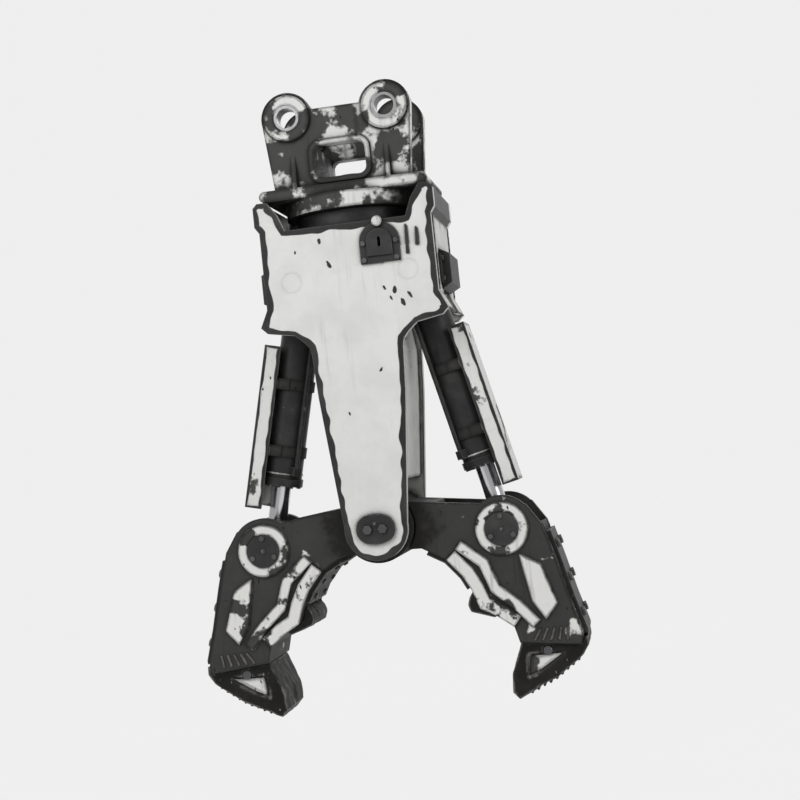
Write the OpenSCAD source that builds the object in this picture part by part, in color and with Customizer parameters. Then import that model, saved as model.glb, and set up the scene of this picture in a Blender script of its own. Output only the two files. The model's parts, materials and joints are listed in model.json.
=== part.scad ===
/* [Head bracket] */
// Distance between the stick pin and the link pin
pin_spacing = 450; // [430:5:470]
// Diameter of the stick pin and of the link pin
mount_pin_d = 90; // [80:1:94]
// Height of both mounting pins over the jaw pivot
pin_h = 1880; // [1870:5:1930]
// Clear width between the two ears
ear_gap = 360; // [340:5:400]
// Thickness of each ear plate
ear_t = 55; // [48:1:60]
// Outer radius of the eyes in the ears
ear_eye_r = 118; // [106:1:124]
// Height of the boss ring on each face of an ear
ear_boss_t = 14; // [8:1:18]
// Wall of the bushes in the ears
ear_bush_wall = 12; // [8:1:15]
// Half length of the ears where they meet the base plate
ear_foot = 312; // [290:2:320]
// Thickness of the rectangular base plate
base_t = 50; // [40:1:56]
// Thickness of the round flange over the slew ring
flange_t = 70; // [60:1:80]
// Width of the window in each ear
window_w = 236; // [200:2:250]
// Height of the window in each ear
window_h = 150; // [120:2:165]

/* [Slew ring] */
// Outer radius of the slew ring
slew_r = 272; // [266:1:276]
// Height of the slew ring
slew_h = 74; // [68:1:80]
// Radius of the circle that the ball centres lie on
ball_track_r = 214; // [212:1:216]
// Radius of one ball
ball_r = 12; // [10:0.5:13]
// Number of balls
ball_count = 36; // [24:1:44]
// Size of a gear tooth, as pitch diameter over tooth count
gear_module = 5; // [4.9:0.05:5.1]
// Teeth inside the inner ring
ring_teeth = 60; // [59:1:61]
// Teeth on the pinion
pinion_teeth = 12; // [11:1:13]
// Bolts in each bolt circle
slew_bolt_count = 20; // [12:1:24]
// Diameter of the slew bolts
slew_bolt_d = 18; // [14:1:20]

/* [Rotating frame] */
// Height of the top plate over the jaw pivot
frame_top = 1366; // [1350:2:1372]
// Half length of the housing along the jaw opening
housing_half = 390; // [384:1:400]
// Clear depth between the two cheek plates
cheek_gap = 520; // [512:2:540]
// Thickness of each cheek plate
cheek_t = 40; // [30:1:50]
// Height of the lower edge of the housing
housing_low = 915; // [900:5:930]
// Half width of the tongue under the housing
tongue_top_half = 207; // [195:1:212]
// Half width of the tongue at its middle
tongue_mid_half = 196; // [185:1:205]
// Radius of the round end of the tongue
tongue_end_r = 142; // [135:1:150]
// Thickness of the top plate
top_plate_t = 50; // [40:1:60]
// Thickness of the end plates
end_plate_t = 30; // [20:1:30]
// Thickness of the webs inside the tongue
web_t = 30; // [20:1:40]
// How far the end covers stand out
cover_proud = 48; // [40:1:56]
// Thickness of the slew guard bars
guard_bar_t = 50; // [40:1:56]
// Width of the hatch cover
hatch_w = 180; // [160:2:184]
// Height of the hatch cover
hatch_h = 182; // [160:2:186]
// Thickness of the hatch cover
hatch_t = 22; // [16:1:26]

/* [Jaw pivot] */
// Diameter of the main jaw pin
main_pin_d = 124; // [116:1:126]
// Wall of the bushes on the main pin
hub_bush_wall = 14; // [10:1:18]
// Outer radius of the jaw hubs
hub_r = 156; // [148:1:160]
// Width of each outer hub ring of the left jaw
hub_ring_w = 120; // [110:1:126]
// Thickness of the thrust washers
washer_t = 5; // [4:0.5:8]
// Half length of the oval pin caps
cap_half_l = 86; // [82:1:94]
// Half height of the oval pin caps
cap_half_h = 64; // [60:1:72]
// Thickness of the pin caps
cap_t = 20; // [14:1:26]

/* [Jaws] */
// Reach of a jaw from the pivot to its tip
jaw_len = 1000; // [970:5:1030]
// Width across the side plates of a jaw
jaw_w = 400; // [380:2:410]
// Thickness of the side plates of a jaw
jaw_plate_t = 40; // [30:1:50]
// Thickness of the plate along the mouth
throat_t = 48; // [40:1:54]
// Thickness of the plate along the back
back_t = 32; // [26:1:40]
// Thickness of the outer wear strap
strap_t = 24; // [18:1:28]
// Width of the outer wear strap
strap_w = 300; // [260:2:320]
// Thickness of the bolted throat liner
liner_t = 20; // [14:1:24]
// Height of the raised panels on the side plates
panel_t = 12; // [8:1:15]
// Width of the tip tooth
tip_w = 344; // [320:2:360]
// Width of the middle tooth
tooth_w = 300; // [260:2:330]
// Radius of the lug around the rod pin
rod_lug_r = 148; // [138:1:154]

/* [Cylinders] */
// Distance of the rod pin from the pivot along the opening
rod_pin_x = 545; // [538:1:552]
// Depth of the rod pin under the pivot
rod_pin_drop = 57; // [50:1:64]
// Distance of the upper cylinder pin from the end of the housing
head_pin_inset = 125; // [118:1:130]
// Height of the upper cylinder pin over the pivot
head_pin_h = 1130; // [1120:1:1136]
// Diameter of the cylinder pins
cyl_pin_d = 90; // [80:1:95]
// Outer diameter of the barrel
barrel_d = 176; // [168:1:182]
// Bore of the barrel
bore_d = 140; // [130:1:146]
// Diameter of the piston rod
rod_d = 90; // [80:1:96]
// Length from the upper pin to the end of the barrel
barrel_len = 890; // [860:5:910]
// Width of the barrel eye
barrel_eye_w = 130; // [120:1:136]
// Width of the rod eye
rod_eye_w = 150; // [140:1:154]
// Outer radius of the rod eye
rod_eye_r = 80; // [74:1:84]
// Free play of the barrel eye on its pin
eye_play = 12; // [11.5:0.1:13]
// Thickness of the cylinder guard
guard_t = 14; // [10:1:16]
// Distance of the guard's outer face from the barrel axis
guard_reach = 136; // [130:1:142]

/* [Hidden] */
$fn = 64;

// Overrun of cuts past the faces they open
over = 2;
// Gap between faces that slide on each other
slide_gap = 0.3;
// Radial play of a running fit
run_gap = 0.05;
// Radial play of a pressed or bolted fit
fit_gap = 0.02;
// Radial play of a bolt in its hole
hole_gap = 0.5;
// Gap between the turning frame and the head over it
turn_gap = 8;
// Height of a bolt head as a share of the bolt diameter, and its radius as another
head_h_share = 0.65;
head_r_share = 0.85;
// Diameters of the medium and of the small bolts
mid_bolt_d = 24;
small_bolt_d = 14;
// How deep the bolts reach into what they hold
bolt_reach = 30;

// Levels over the jaw pivot
flange_low = frame_top + slew_h;
base_low = flange_low + flange_t;
deck = base_low + base_t;
mount_x = pin_spacing / 2;

// Head bracket
base_inset = 5;
base_half_l = housing_half - base_inset;
base_edge = 25;
base_half_w = ear_gap / 2 + ear_t + base_edge;
flange_out = 42;
flange_r = slew_r + flange_out;
saddle_share = 0.25;
window_r = 34;
window_sill = 30;
rim_w = 22;
rim_t = 12;
cross_t = 30;
cross_x = window_w / 2 + cross_t / 2;
cross_top = 190;
gusset_t = 20;
gusset_h = 150;
gusset_x = 215;
ear_bore_r = mount_pin_d / 2 + ear_bush_wall;

// Slew ring
ring_gap = 4;
ring_step = 6;
pitch_r = gear_module * ring_teeth / 2;
pinion_r = gear_module * pinion_teeth / 2;
motor_angle = -45;
motor_r = pitch_r - pinion_r;
inner_bolt_r = (pitch_r + ball_track_r) / 2;
outer_bolt_r = (slew_r + ball_track_r) / 2 + ring_gap;
groove_play = 0.3;
addendum_share = 0.85;
dedendum_share = 1.2;
pinion_tip_share = 0.2;
pinion_base_share = 0.56;
space_tip_share = 0.3;
space_base_share = 0.7;

// Rotary manifold
core_bolt_count = 4;
core_r = 44;
core_drop = 190;
core_low = frame_top - core_drop;
core_flange_r = 104;
core_flange_t = 24;
sleeve_r = 61;
sleeve_drop = 176;
sleeve_low = frame_top - sleeve_drop;
sleeve_foot = 110;
sleeve_foot_w = 60;
sleeve_foot_t = 20;
fitting_r = 16;
fitting_l = 34;

// Rotating frame
head_pin_x = housing_half - head_pin_inset;
cheek_in = cheek_gap / 2;
cheek_out = cheek_in + cheek_t;
skirt_h = 105;
skirt_top = housing_low + skirt_h;
skirt_out = 36;
skirt_lip = 28;
web_low = 205;
web_inset = 20;
shelf_top = skirt_top;
tongue_mid_h = 600;
tongue_top_h = 800;
tongue_taper = atan((tongue_mid_half - tongue_end_r) / tongue_mid_h);
neck_r = 60;
// Shares of that radius in the corner between the tongue and the skirt
neck_shares = [0.1, 0.45, 0.9, 1.2, 0.35];
boss_play = 4;
access_half_w = 102;
access_half_h = 64;
head_boss_r = 74;
cover_half_h = 92;
cover_slope = 26;
cover_wall = 14;
cover_half_w = 150;
tab_w = 36;
tab_t = 12;
cover_bolt_half_h = 45;
bar_seat = 60;
bar_bolt_y = 180;
bar_bolt_reach = 34;
slit_w = 14;
slit_h = 46;
bar_top = base_low - turn_gap;
hatch_x = 150;
horn_out = 20;
horn_w = 42;
horn_slope = 30;
hatch_drop = 12;
hatch_top = frame_top - hatch_drop;
hatch_low = hatch_top - hatch_h;
hatch_bolt_in = 16;
motor_body_r = 48;
motor_flange_r = 54;
motor_flange_t = 18;
motor_pilot_r = 30;
motor_drop = 215;
motor_low = frame_top - motor_drop;
shaft_r = 16;
top_plate_low = frame_top - top_plate_t;
shaft_drop = 30;
shaft_low = top_plate_low - shaft_drop;
cap_bolt_x = 34;

// Jaw pivot: faces counted outwards from the middle
main_r = main_pin_d / 2;
bush_r = main_r + hub_bush_wall;
ring_out = cheek_in - 2 * slide_gap - washer_t;
ring_in = ring_out - hub_ring_w;
tang_half = ring_in - 2 * slide_gap - washer_t;
washer_inset = 14;
washer_r = hub_r - washer_inset;
hub_play = 7;
tang_play = 4;

// Cylinders: the right one lies along a line from its upper pin to its rod pin
cyl_dx = rod_pin_x - head_pin_x;
cyl_dz = head_pin_h + rod_pin_drop;
cyl_l = sqrt(cyl_dx * cyl_dx + cyl_dz * cyl_dz);
cyl_tilt = atan(cyl_dx / cyl_dz);
barrel_r = barrel_d / 2;
bore_r = bore_d / 2;
rod_r = rod_d / 2;
cyl_pin_r = cyl_pin_d / 2;
barrel_eye_wall = 26;
barrel_eye_r = cyl_pin_r + eye_play + barrel_eye_wall;
barrel_start = 96;
barrel_cap = 125;
web_top_x = head_pin_x - barrel_eye_r - 2 * eye_play;
gland_proud = 8;
gland_r = barrel_r + gland_proud;
gland_flange = 34;
gland_depth = 70;
gland_bolt_count = 8;
gland_bolt_d = 12;
gland_bolt_at = (barrel_r + bore_r) / 2;
piston_l = 90;
piston_at = 190;
spigot_r = 30;
nut_t = 18;
rod_neck = 46;
rod_bush_wall = 10;
guard_half_w = 112;
guard_top_share = 0.32;
guard_top_at = barrel_len * guard_top_share;
guard_overhang = 150;
guard_low_at = barrel_len + guard_overhang;
guard_lip = 60;
clamp_w = 50;
clamp_t = 8;
clamp_shares = [0.483, 0.831];
clamp_at = clamp_shares * barrel_len;
pipe_r = 11;
pipe_off = barrel_r + clamp_t + pipe_r + hole_gap;
pipe_angle = 45;
port_w = 40;
port_shares = [0.169, 0.955];
port_at = port_shares * barrel_len;

// Jaws
neck_reach = 270;
tenon_half_w = 88;
rib_t = 30;
band_w = 56;
belly_w = 44;
lug_pad_r = 116;
keeper_r = 74;
keeper_t = 14;
keeper_bolt_r = 58;
boss_wall = 40;
tip_pin_d = 40;
facet_deep = 12;
tooth_count = 3;
tooth_gap = 14;
liner_inset = 20;
liner_half_w = jaw_w / 2 - liner_inset;
edge_bolt_y = 100;

// Jaw shapes as shares of the reach: mouth side, tip seat, back and lug
mouth_shares = [
    [0.178, -0.112], [0.285, -0.172], [0.352, -0.252], [0.386, -0.318],
    [0.414, -0.400], [0.486, -0.440], [0.556, -0.494], [0.574, -0.566]
];
back_shares = [[0.846, -0.596], [0.852, -0.540], [0.812, -0.400], [0.768, -0.220], [0.722, -0.050]];
lug_share = [0.662, 0.040];
brow_shares = [[0.460, 0.062], [0.110, 0.106], [0.090, -0.110]];
tip_shares = [
    [0.574, -0.566], [0.520, -0.706], [0.513, -0.790], [0.543, -0.822],
    [0.715, -0.742], [0.846, -0.648], [0.876, -0.600], [0.874, -0.560], [0.852, -0.566],
    [0.846, -0.596]
];
tip_facet_shares = [[0.600, -0.625], [0.780, -0.622], [0.660, -0.700], [0.590, -0.735]];
tenon_shares = [[0.610, -0.500], [0.610, -0.650], [0.760, -0.660], [0.780, -0.500]];
tooth_shares = [
    [0.386, -0.318], [0.362, -0.352], [0.350, -0.385], [0.362, -0.420], [0.470, -0.456],
    [0.486, -0.440], [0.414, -0.400]
];
// How far along its two end edges the throat liner starts and stops
liner_end_shares = [0.25, 0.82];
// How far along its two end edges the wear strap starts and stops
strap_end_shares = [0.8, 0.75];
panel_shares = [[0.612, -0.178], [0.700, -0.230], [0.756, -0.402], [0.700, -0.470], [0.648, -0.385]];
belly_shares = [[0.330, -0.130], [0.430, -0.215], [0.470, -0.330], [0.560, -0.410], [0.640, -0.500]];
tip_pin_share = [0.690, -0.614];
socket_shares = [[0.604, -0.540], [0.604, -0.656], [0.766, -0.666], [0.790, -0.540]];
rib_shares = [[0.430, -0.405], [0.620, -0.330], [0.770, -0.322]];

function unit_of(v) = v / norm(v);
function left_of(a, b) = let (u = unit_of(b - a)) [-u[1], u[0]];
function side_step(path, i, d) =
    i == 0 ? path[0] + d * left_of(path[0], path[1])
    : i == len(path) - 1 ? path[i] + d * left_of(path[i - 1], path[i])
    : let (n = left_of(path[i - 1], path[i]), m = unit_of(n + left_of(path[i], path[i + 1])))
        path[i] + m * d / (m * n);
function reach(shares) = [for (p = shares) p * jaw_len];

// Moves a piece from the jaw pivot's frame to the part's own frame at the stick pin
module placed() {
    translate([-mount_x, 0, -pin_h]) children();
}

module on_left() {
    mirror([1, 0, 0]) children();
}

// A slab of a flat x and z outline between two depths
module slab(y0, y1) {
    translate([0, y1, 0]) rotate([90, 0, 0]) linear_extrude(y1 - y0) children();
}

module pair_of_slabs(y0, y1) {
    slab(y0, y1) children();
    slab(-y1, -y0) children();
}

// A round bar along the depth
module y_bar(r, y0, y1, x = 0, z = 0) {
    translate([x, y0, z]) rotate([-90, 0, 0]) cylinder(r = r, h = y1 - y0);
}

// A strip of even thickness on the left of a path
module strip(path, d) {
    polygon(concat(path, [for (i = [len(path) - 1:-1:0]) side_step(path, i, d)]));
}

module rounded(w, h, r) {
    square([w, h - 2 * r], center = true);
    square([w - 2 * r, h], center = true);
    for (x = [-1, 1], z = [-1, 1]) translate([x * (w / 2 - r), z * (h / 2 - r)]) circle(r);
}

// A bolt that stands on z = 0, with its head up
module bolt(d, l = bolt_reach) {
    translate([0, 0, -l]) cylinder(d = d, h = l);
    cylinder(r = d * head_r_share, h = d * head_h_share, $fn = 6);
}

module bolt_hole(d, l = bolt_reach) {
    translate([0, 0, -l - hole_gap]) cylinder(r = d / 2 + hole_gap, h = l + hole_gap + over);
}

// Copies round the vertical axis
module around(count, r, start = 0) {
    for (i = [0:count - 1]) rotate([0, 0, start + i * 360 / count]) translate([r, 0, 0]) children();
}

// Outline of a gear's teeth, pointing outwards
module toothed(r, teeth, root, tip, base_share, tip_share, start = 0) {
    pitch = 360 / teeth;
    polygon([
        for (i = [0:teeth - 1], k = [-1, 1], s = k < 0 ? [0, 1] : [1, 0])
            let (a = start + (i + k * (s == 0 ? base_share : tip_share) / 2) * pitch,
                 q = s == 0 ? r - root : r + tip)
                [q * cos(a), q * sin(a)]
    ]);
}

// Side view of an ear, with its window
module ear_outline() {
    difference() {
        union() {
            polygon([
                [-ear_foot, deck], [ear_foot, deck], [mount_x + ear_eye_r, pin_h],
                [mount_x, pin_h + saddle_share * ear_eye_r], [-mount_x, pin_h + saddle_share * ear_eye_r],
                [-mount_x - ear_eye_r, pin_h]
            ]);
            for (x = [-mount_x, mount_x]) translate([x, pin_h]) circle(ear_eye_r);
        }
        translate([0, deck + window_sill + window_h / 2]) rounded(window_w, window_h, window_r);
    }
}

module window_rim() {
    translate([0, deck + window_sill + window_h / 2]) difference() {
        rounded(window_w + 2 * rim_w, window_h + 2 * rim_w, window_r + rim_w);
        rounded(window_w, window_h, window_r);
    }
}

// Flat plate that rests on the slew flange, with the cross plates between the ears
module head_base() placed() color("gainsboro") difference() {
    union() {
        slab(-base_half_w, base_half_w) translate([0, base_low + base_t / 2]) {
            square([2 * base_half_l - base_t, base_t], center = true);
            for (x = [-1, 1]) translate([x * (base_half_l - base_t / 2), 0]) circle(base_t / 2);
        }
        translate([0, 0, flange_low]) cylinder(r = flange_r, h = flange_t + over);
        for (x = [-cross_x, cross_x]) translate([x - cross_t / 2, -ear_gap / 2, deck - over])
            cube([cross_t, ear_gap, cross_top + over]);
    }
    translate([0, 0, flange_low - over])
        cylinder(r = core_r + run_gap + over, h = deck - flange_low + 2 * over);
    translate([0, 0, flange_low]) around(slew_bolt_count, inner_bolt_r, 180 / slew_bolt_count)
        translate([0, 0, -over]) cylinder(r = slew_bolt_d / 2 + hole_gap, h = bolt_reach + 2 * over);
    around(core_bolt_count, core_flange_r - small_bolt_d, 180 / core_bolt_count)
        translate([0, 0, deck]) bolt_hole(small_bolt_d);
}

// Two ears welded on the base plate, with their window rims and gussets
module head_ears() placed() color("gainsboro") {
    ear_in = ear_gap / 2;
    ear_out = ear_in + ear_t;
    for (k = [0, 1]) mirror([0, k, 0]) difference() {
        union() {
            slab(ear_in, ear_out) ear_outline();
            slab(ear_out - over, ear_out + rim_t) window_rim();
            for (x = [-mount_x, mount_x])
                y_bar(ear_eye_r - ear_boss_t, ear_in - ear_boss_t, ear_out + ear_boss_t, x, pin_h);
            for (x = [-gusset_x, gusset_x])
                translate([x - gusset_t / 2, 0, 0]) rotate([90, 0, 90]) linear_extrude(gusset_t)
                    polygon([[ear_out - over, deck], [base_half_w, deck],
                        [ear_out, deck + gusset_h], [ear_out - over, deck + gusset_h]]);
        }
        for (x = [-mount_x, mount_x]) y_bar(ear_bore_r, 0, base_half_w + over, x, pin_h);
    }
}

// Steel bushes pressed into the ears
module ear_bushes() placed() color("dimgray") {
    for (x = [-mount_x, mount_x], k = [0, 1]) mirror([0, k, 0]) difference() {
        y_bar(ear_bore_r - fit_gap, ear_gap / 2 - ear_boss_t, ear_gap / 2 + ear_t + ear_boss_t, x, pin_h);
        y_bar(mount_pin_d / 2, 0, base_half_w + over, x, pin_h);
    }
}

module ball_groove() {
    rotate_extrude($fn = 96) translate([ball_track_r, 0]) circle(ball_r + groove_play);
}

// Inner ring with the gear teeth, bolted up to the head
module inner_slew_ring() placed() color("silver") {
    low = frame_top + ring_step;
    h = slew_h - ring_step;
    mid = frame_top + slew_h / 2;
    difference() {
        translate([0, 0, low]) cylinder(r = ball_track_r - ring_gap, h = h, $fn = 128);
        translate([0, 0, low - over]) linear_extrude(h + 2 * over)
            toothed(pitch_r, ring_teeth, addendum_share * gear_module, dedendum_share * gear_module,
                space_base_share, space_tip_share, motor_angle);
        translate([0, 0, mid]) ball_groove();
        around(slew_bolt_count, inner_bolt_r, 180 / slew_bolt_count) translate([0, 0, low]) {
            translate([0, 0, -over]) cylinder(r = slew_bolt_d / 2 + hole_gap, h = h + 2 * over);
            translate([0, 0, -over]) cylinder(r = slew_bolt_d * head_r_share + hole_gap,
                h = slew_bolt_d * head_h_share + over);
        }
    }
}

// Bolts up through the inner ring into the flange
module upper_slew_bolts() placed() color("dimgray") {
    head_h = slew_bolt_d * head_h_share;
    shank = slew_h - ring_step - head_h;
    around(slew_bolt_count, inner_bolt_r, 180 / slew_bolt_count)
        translate([0, 0, frame_top + ring_step + head_h]) mirror([0, 0, 1])
            bolt(slew_bolt_d, shank + bolt_reach);
}

// Outer ring, bolted down to the turning frame
module outer_slew_ring() placed() color("silver") {
    h = slew_h - ring_step;
    mid = frame_top + slew_h / 2;
    difference() {
        translate([0, 0, frame_top]) cylinder(r = slew_r, h = h, $fn = 128);
        translate([0, 0, frame_top - over])
            cylinder(r = ball_track_r + ring_gap, h = h + 2 * over, $fn = 128);
        translate([0, 0, mid]) ball_groove();
        around(slew_bolt_count, outer_bolt_r, 180 / slew_bolt_count) translate([0, 0, frame_top]) {
            translate([0, 0, -over]) cylinder(r = slew_bolt_d / 2 + hole_gap, h = h + 2 * over);
            translate([0, 0, h - slew_bolt_d * head_h_share])
                cylinder(r = slew_bolt_d * head_r_share + hole_gap, h = slew_bolt_d * head_h_share + over);
        }
    }
}

// Bolts down through the outer ring into the top plate
module lower_slew_bolts() placed() color("dimgray") {
    shank = slew_h - ring_step - slew_bolt_d * head_h_share;
    around(slew_bolt_count, outer_bolt_r, 180 / slew_bolt_count) translate([0, 0, frame_top + shank])
        bolt(slew_bolt_d, shank + bolt_reach);
}

// Balls that run between the two rings
module slew_balls() placed() color("white") {
    around(ball_count, ball_track_r, 180 / ball_count)
        translate([0, 0, frame_top + slew_h / 2]) sphere(r = ball_r, $fn = 32);
}

// Fixed core that hands the oil down through the slew ring
module manifold_core() placed() color("slategray") {
    difference() {
        union() {
            translate([0, 0, core_low]) cylinder(r = core_r, h = deck - core_low + over);
            translate([0, 0, deck]) cylinder(r = core_flange_r, h = core_flange_t);
            translate([0, 0, deck + core_flange_t]) cylinder(r = core_r + core_flange_t / 2, h = core_r);
        }
        around(core_bolt_count, core_flange_r - small_bolt_d, 180 / core_bolt_count)
        translate([0, 0, deck + core_flange_t])
            bolt_hole(small_bolt_d, core_flange_t + bolt_reach);
    }
}

// Oil fittings on the core, and the bolts of its flange
module manifold_fittings() placed() color("dimgray") {
    around(core_bolt_count, core_r + core_flange_t / 2) translate([0, 0, deck + core_flange_t + core_r / 2])
        rotate([0, 90, 0]) {
            cylinder(r = fitting_r, h = fitting_l / 2, $fn = 6);
            cylinder(r = fitting_r * 3 / 4, h = fitting_l);
        }
    around(core_bolt_count, core_flange_r - small_bolt_d, 180 / core_bolt_count)
        translate([0, 0, deck + core_flange_t])
        bolt(small_bolt_d, core_flange_t + bolt_reach / 2);
}

// Sleeve that turns with the frame round the core
module manifold_sleeve() placed() color("gray") {
    foot = top_plate_low - sleeve_foot_t;
    difference() {
        union() {
            translate([0, 0, sleeve_low]) cylinder(r = sleeve_r, h = frame_top - sleeve_low);
            rotate([0, 0, 45]) translate([-sleeve_foot, -sleeve_foot_w / 2, foot])
                cube([2 * sleeve_foot, sleeve_foot_w, sleeve_foot_t]);
        }
        translate([0, 0, sleeve_low - over])
            cylinder(r = core_r + run_gap, h = frame_top - sleeve_low + 2 * over);
    }
}

// Hydraulic motor under the top plate
module rotation_motor() placed() color("darkslategray") {
    around(1, motor_r, motor_angle) difference() {
        union() {
            translate([0, 0, motor_low]) cylinder(r = motor_body_r, h = top_plate_low - motor_low);
            translate([0, 0, top_plate_low - motor_flange_t])
                cylinder(r = motor_flange_r, h = motor_flange_t);
            translate([0, 0, top_plate_low]) cylinder(r = motor_pilot_r, h = top_plate_t - over);
        }
        translate([0, 0, shaft_low]) cylinder(r = shaft_r + run_gap, h = frame_top - shaft_low);
    }
}

// Shaft and pinion that walk round inside the inner ring
module drive_pinion() placed() color("silver") {
    around(1, motor_r, motor_angle) {
        translate([0, 0, shaft_low + slide_gap]) cylinder(r = shaft_r, h = frame_top - shaft_low);
        translate([0, 0, frame_top + ring_step]) linear_extrude(slew_h - 2 * ring_step)
            toothed(pinion_r, pinion_teeth, dedendum_share * gear_module, addendum_share * gear_module,
                pinion_base_share, pinion_tip_share);
        translate([0, 0, frame_top]) cylinder(r = shaft_r + over, h = ring_step);
    }
}

// Side view of the whole cheek: housing, flared skirt, tongue and round end
module cheek_outline() {
    end_x = tongue_end_r * cos(tongue_taper);
    end_z = tongue_end_r * sin(tongue_taper);
    right = [
        [end_x, end_z], [tongue_mid_half, tongue_mid_h], [tongue_top_half, tongue_top_h],
        [tongue_top_half + neck_r * neck_shares[0], tongue_top_h + neck_r * neck_shares[1]],
        [tongue_top_half + neck_r * neck_shares[1], tongue_top_h + neck_r * neck_shares[2]],
        [tongue_top_half + neck_r * neck_shares[3], housing_low - neck_r * neck_shares[4]],
        [housing_half + skirt_out - skirt_lip, housing_low],
        [housing_half + skirt_out, housing_low + skirt_lip],
        [housing_half, skirt_top], [housing_half, frame_top],
        [housing_half + horn_out, frame_top + horn_slope],
        [housing_half + horn_out, bar_top - horn_out], [housing_half, bar_top],
        [housing_half - horn_w, bar_top], [housing_half - 2 * horn_w, bar_top - 2 * horn_slope],
        [housing_half - 2 * horn_w - horn_slope, frame_top]
    ];
    left = [for (i = [len(right) - 1:-1:0]) [-right[i][0], right[i][1]]];
    polygon(concat(right, left));
    circle(tongue_end_r, $fn = 96);
}

// One cheek on the front, with the pin bores and bosses
module cheek() {
    difference() {
        union() {
            slab(-cheek_out, -cheek_in) cheek_outline();
            for (x = [-head_pin_x, head_pin_x])
                y_bar(head_boss_r, -cheek_in - over, -barrel_eye_w / 2 - boss_play, x, head_pin_h);
        }
        y_bar(main_r + fit_gap, -cheek_out - over, -cheek_in + over);
        for (x = [-head_pin_x, head_pin_x]) y_bar(cyl_pin_r + fit_gap, -cheek_out - over, 0, x, head_pin_h);
        children();
    }
}

module hatch_bolt_places() {
    x = hatch_w / 2 - hatch_bolt_in;
    for (p = [[-x, hatch_bolt_in], [x, hatch_bolt_in], [-x, hatch_h / 2], [x, hatch_h / 2]])
        translate([hatch_x + p[0], 0, hatch_low + p[1]]) rotate([90, 0, 0]) children();
}

module cap_bolt_places(y) {
    for (x = [-cap_bolt_x, cap_bolt_x], k = [0, 1]) mirror([0, k, 0])
        translate([x, -y, 0]) rotate([90, 0, 0]) children();
}

// Front cheek plate, with the opening behind the hatch
module front_cheek() placed() color("whitesmoke") {
    cheek() {
        slab(-cheek_out - over, -cheek_in + over) translate([hatch_x, (hatch_low + hatch_top) / 2])
            rounded(hatch_w - 4 * hatch_bolt_in, hatch_h - 4 * hatch_bolt_in, hatch_bolt_in);
        translate([0, -cheek_out, 0]) hatch_bolt_places() bolt_hole(small_bolt_d);
    }
}

// Rear cheek plate
module rear_cheek() placed() color("whitesmoke") {
    mirror([0, 1, 0]) cheek() {}
}

// Inside edge line of a tongue web, from the shelf down
function web_path() = [
    [web_top_x, shelf_top], [tongue_top_half - web_inset, tongue_top_h],
    [tongue_mid_half - web_inset, tongue_mid_h],
    [tongue_end_r + (tongue_mid_half - tongue_end_r) * web_low / tongue_mid_h - web_inset, web_low]
];

module end_plate() {
    difference() {
        union() {
            slab(-cheek_in, cheek_in) polygon([
                [housing_half - end_plate_t, frame_top], [housing_half - end_plate_t, skirt_top],
                [housing_half + skirt_out - end_plate_t, housing_low + skirt_lip],
                [housing_half + skirt_out, housing_low + skirt_lip], [housing_half, skirt_top],
                [housing_half, frame_top]
            ]);
        }
        translate([housing_half - end_plate_t - over, -access_half_w, housing_low])
            cube([end_plate_t + skirt_out + 2 * over, 2 * access_half_w,
                head_pin_h + access_half_h - housing_low]);
        cover_bolt_places() bolt_hole(small_bolt_d, end_plate_t - over);
        bar_bolt_places() bolt_hole(small_bolt_d, bar_bolt_reach);
    }
}

module cover_bolt_places() {
    for (y = [-1, 1], z = [-1, 1])
        translate([housing_half, y * (cover_half_w + tab_w / 2), head_pin_h + z * cover_bolt_half_h])
            rotate([0, 90, 0]) children();
}

module bar_bolt_places() {
    for (y = [-bar_bolt_y, 0, bar_bolt_y])
        translate([housing_half - end_plate_t / 2, y, frame_top]) children();
}

// Top plate, end plates, shelf and tongue webs between the cheeks
module frame_core() placed() color("lightgray") {
    shelf_half = housing_half - end_plate_t;
    difference() {
        translate([-shelf_half, -cheek_in, top_plate_low]) cube([2 * shelf_half, cheek_gap, top_plate_t]);
        translate([0, 0, top_plate_low - over]) {
            cylinder(r = sleeve_r + run_gap, h = top_plate_t + 2 * over);
            around(1, motor_r, motor_angle) cylinder(r = motor_pilot_r + run_gap, h = top_plate_t + 2 * over);
        }
        around(slew_bolt_count, outer_bolt_r, 180 / slew_bolt_count) translate([0, 0, frame_top])
            bolt_hole(slew_bolt_d);
    }
    end_plate();
    on_left() end_plate();
    for (k = [0, 1]) mirror([k, 0, 0]) slab(-cheek_in, cheek_in) strip(web_path(), -web_t);
    translate([-web_top_x, -cheek_in, shelf_top - web_t]) cube([2 * web_top_x, cheek_gap, web_t]);
    translate([-tongue_end_r + web_inset, -cheek_in, web_low])
        cube([2 * (tongue_end_r - web_inset), cheek_gap, web_t]);
}

// Rounded bars that shield the slew ring at both ends
module slew_guard_bars() placed() color("dimgray") {
    for (k = [0, 1]) mirror([k, 0, 0]) difference() {
        slab(-cheek_in, cheek_in) polygon([
            [housing_half - end_plate_t, frame_top], [housing_half, frame_top],
            [housing_half - end_plate_t + guard_bar_t, frame_top + horn_slope],
            [housing_half - end_plate_t + guard_bar_t, bar_top - horn_out],
            [housing_half - end_plate_t + guard_bar_t - horn_out, bar_top],
            [housing_half - end_plate_t + horn_out / 2, bar_top],
            [housing_half - end_plate_t, bar_top - horn_out / 2]
        ]);
        bar_bolt_places() {
            translate([0, 0, -over]) cylinder(r = small_bolt_d / 2 + hole_gap, h = bar_seat + 2 * over);
            translate([0, 0, bar_seat]) cylinder(r = small_bolt_d, h = bar_top - frame_top);
        }
    }
}

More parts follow.
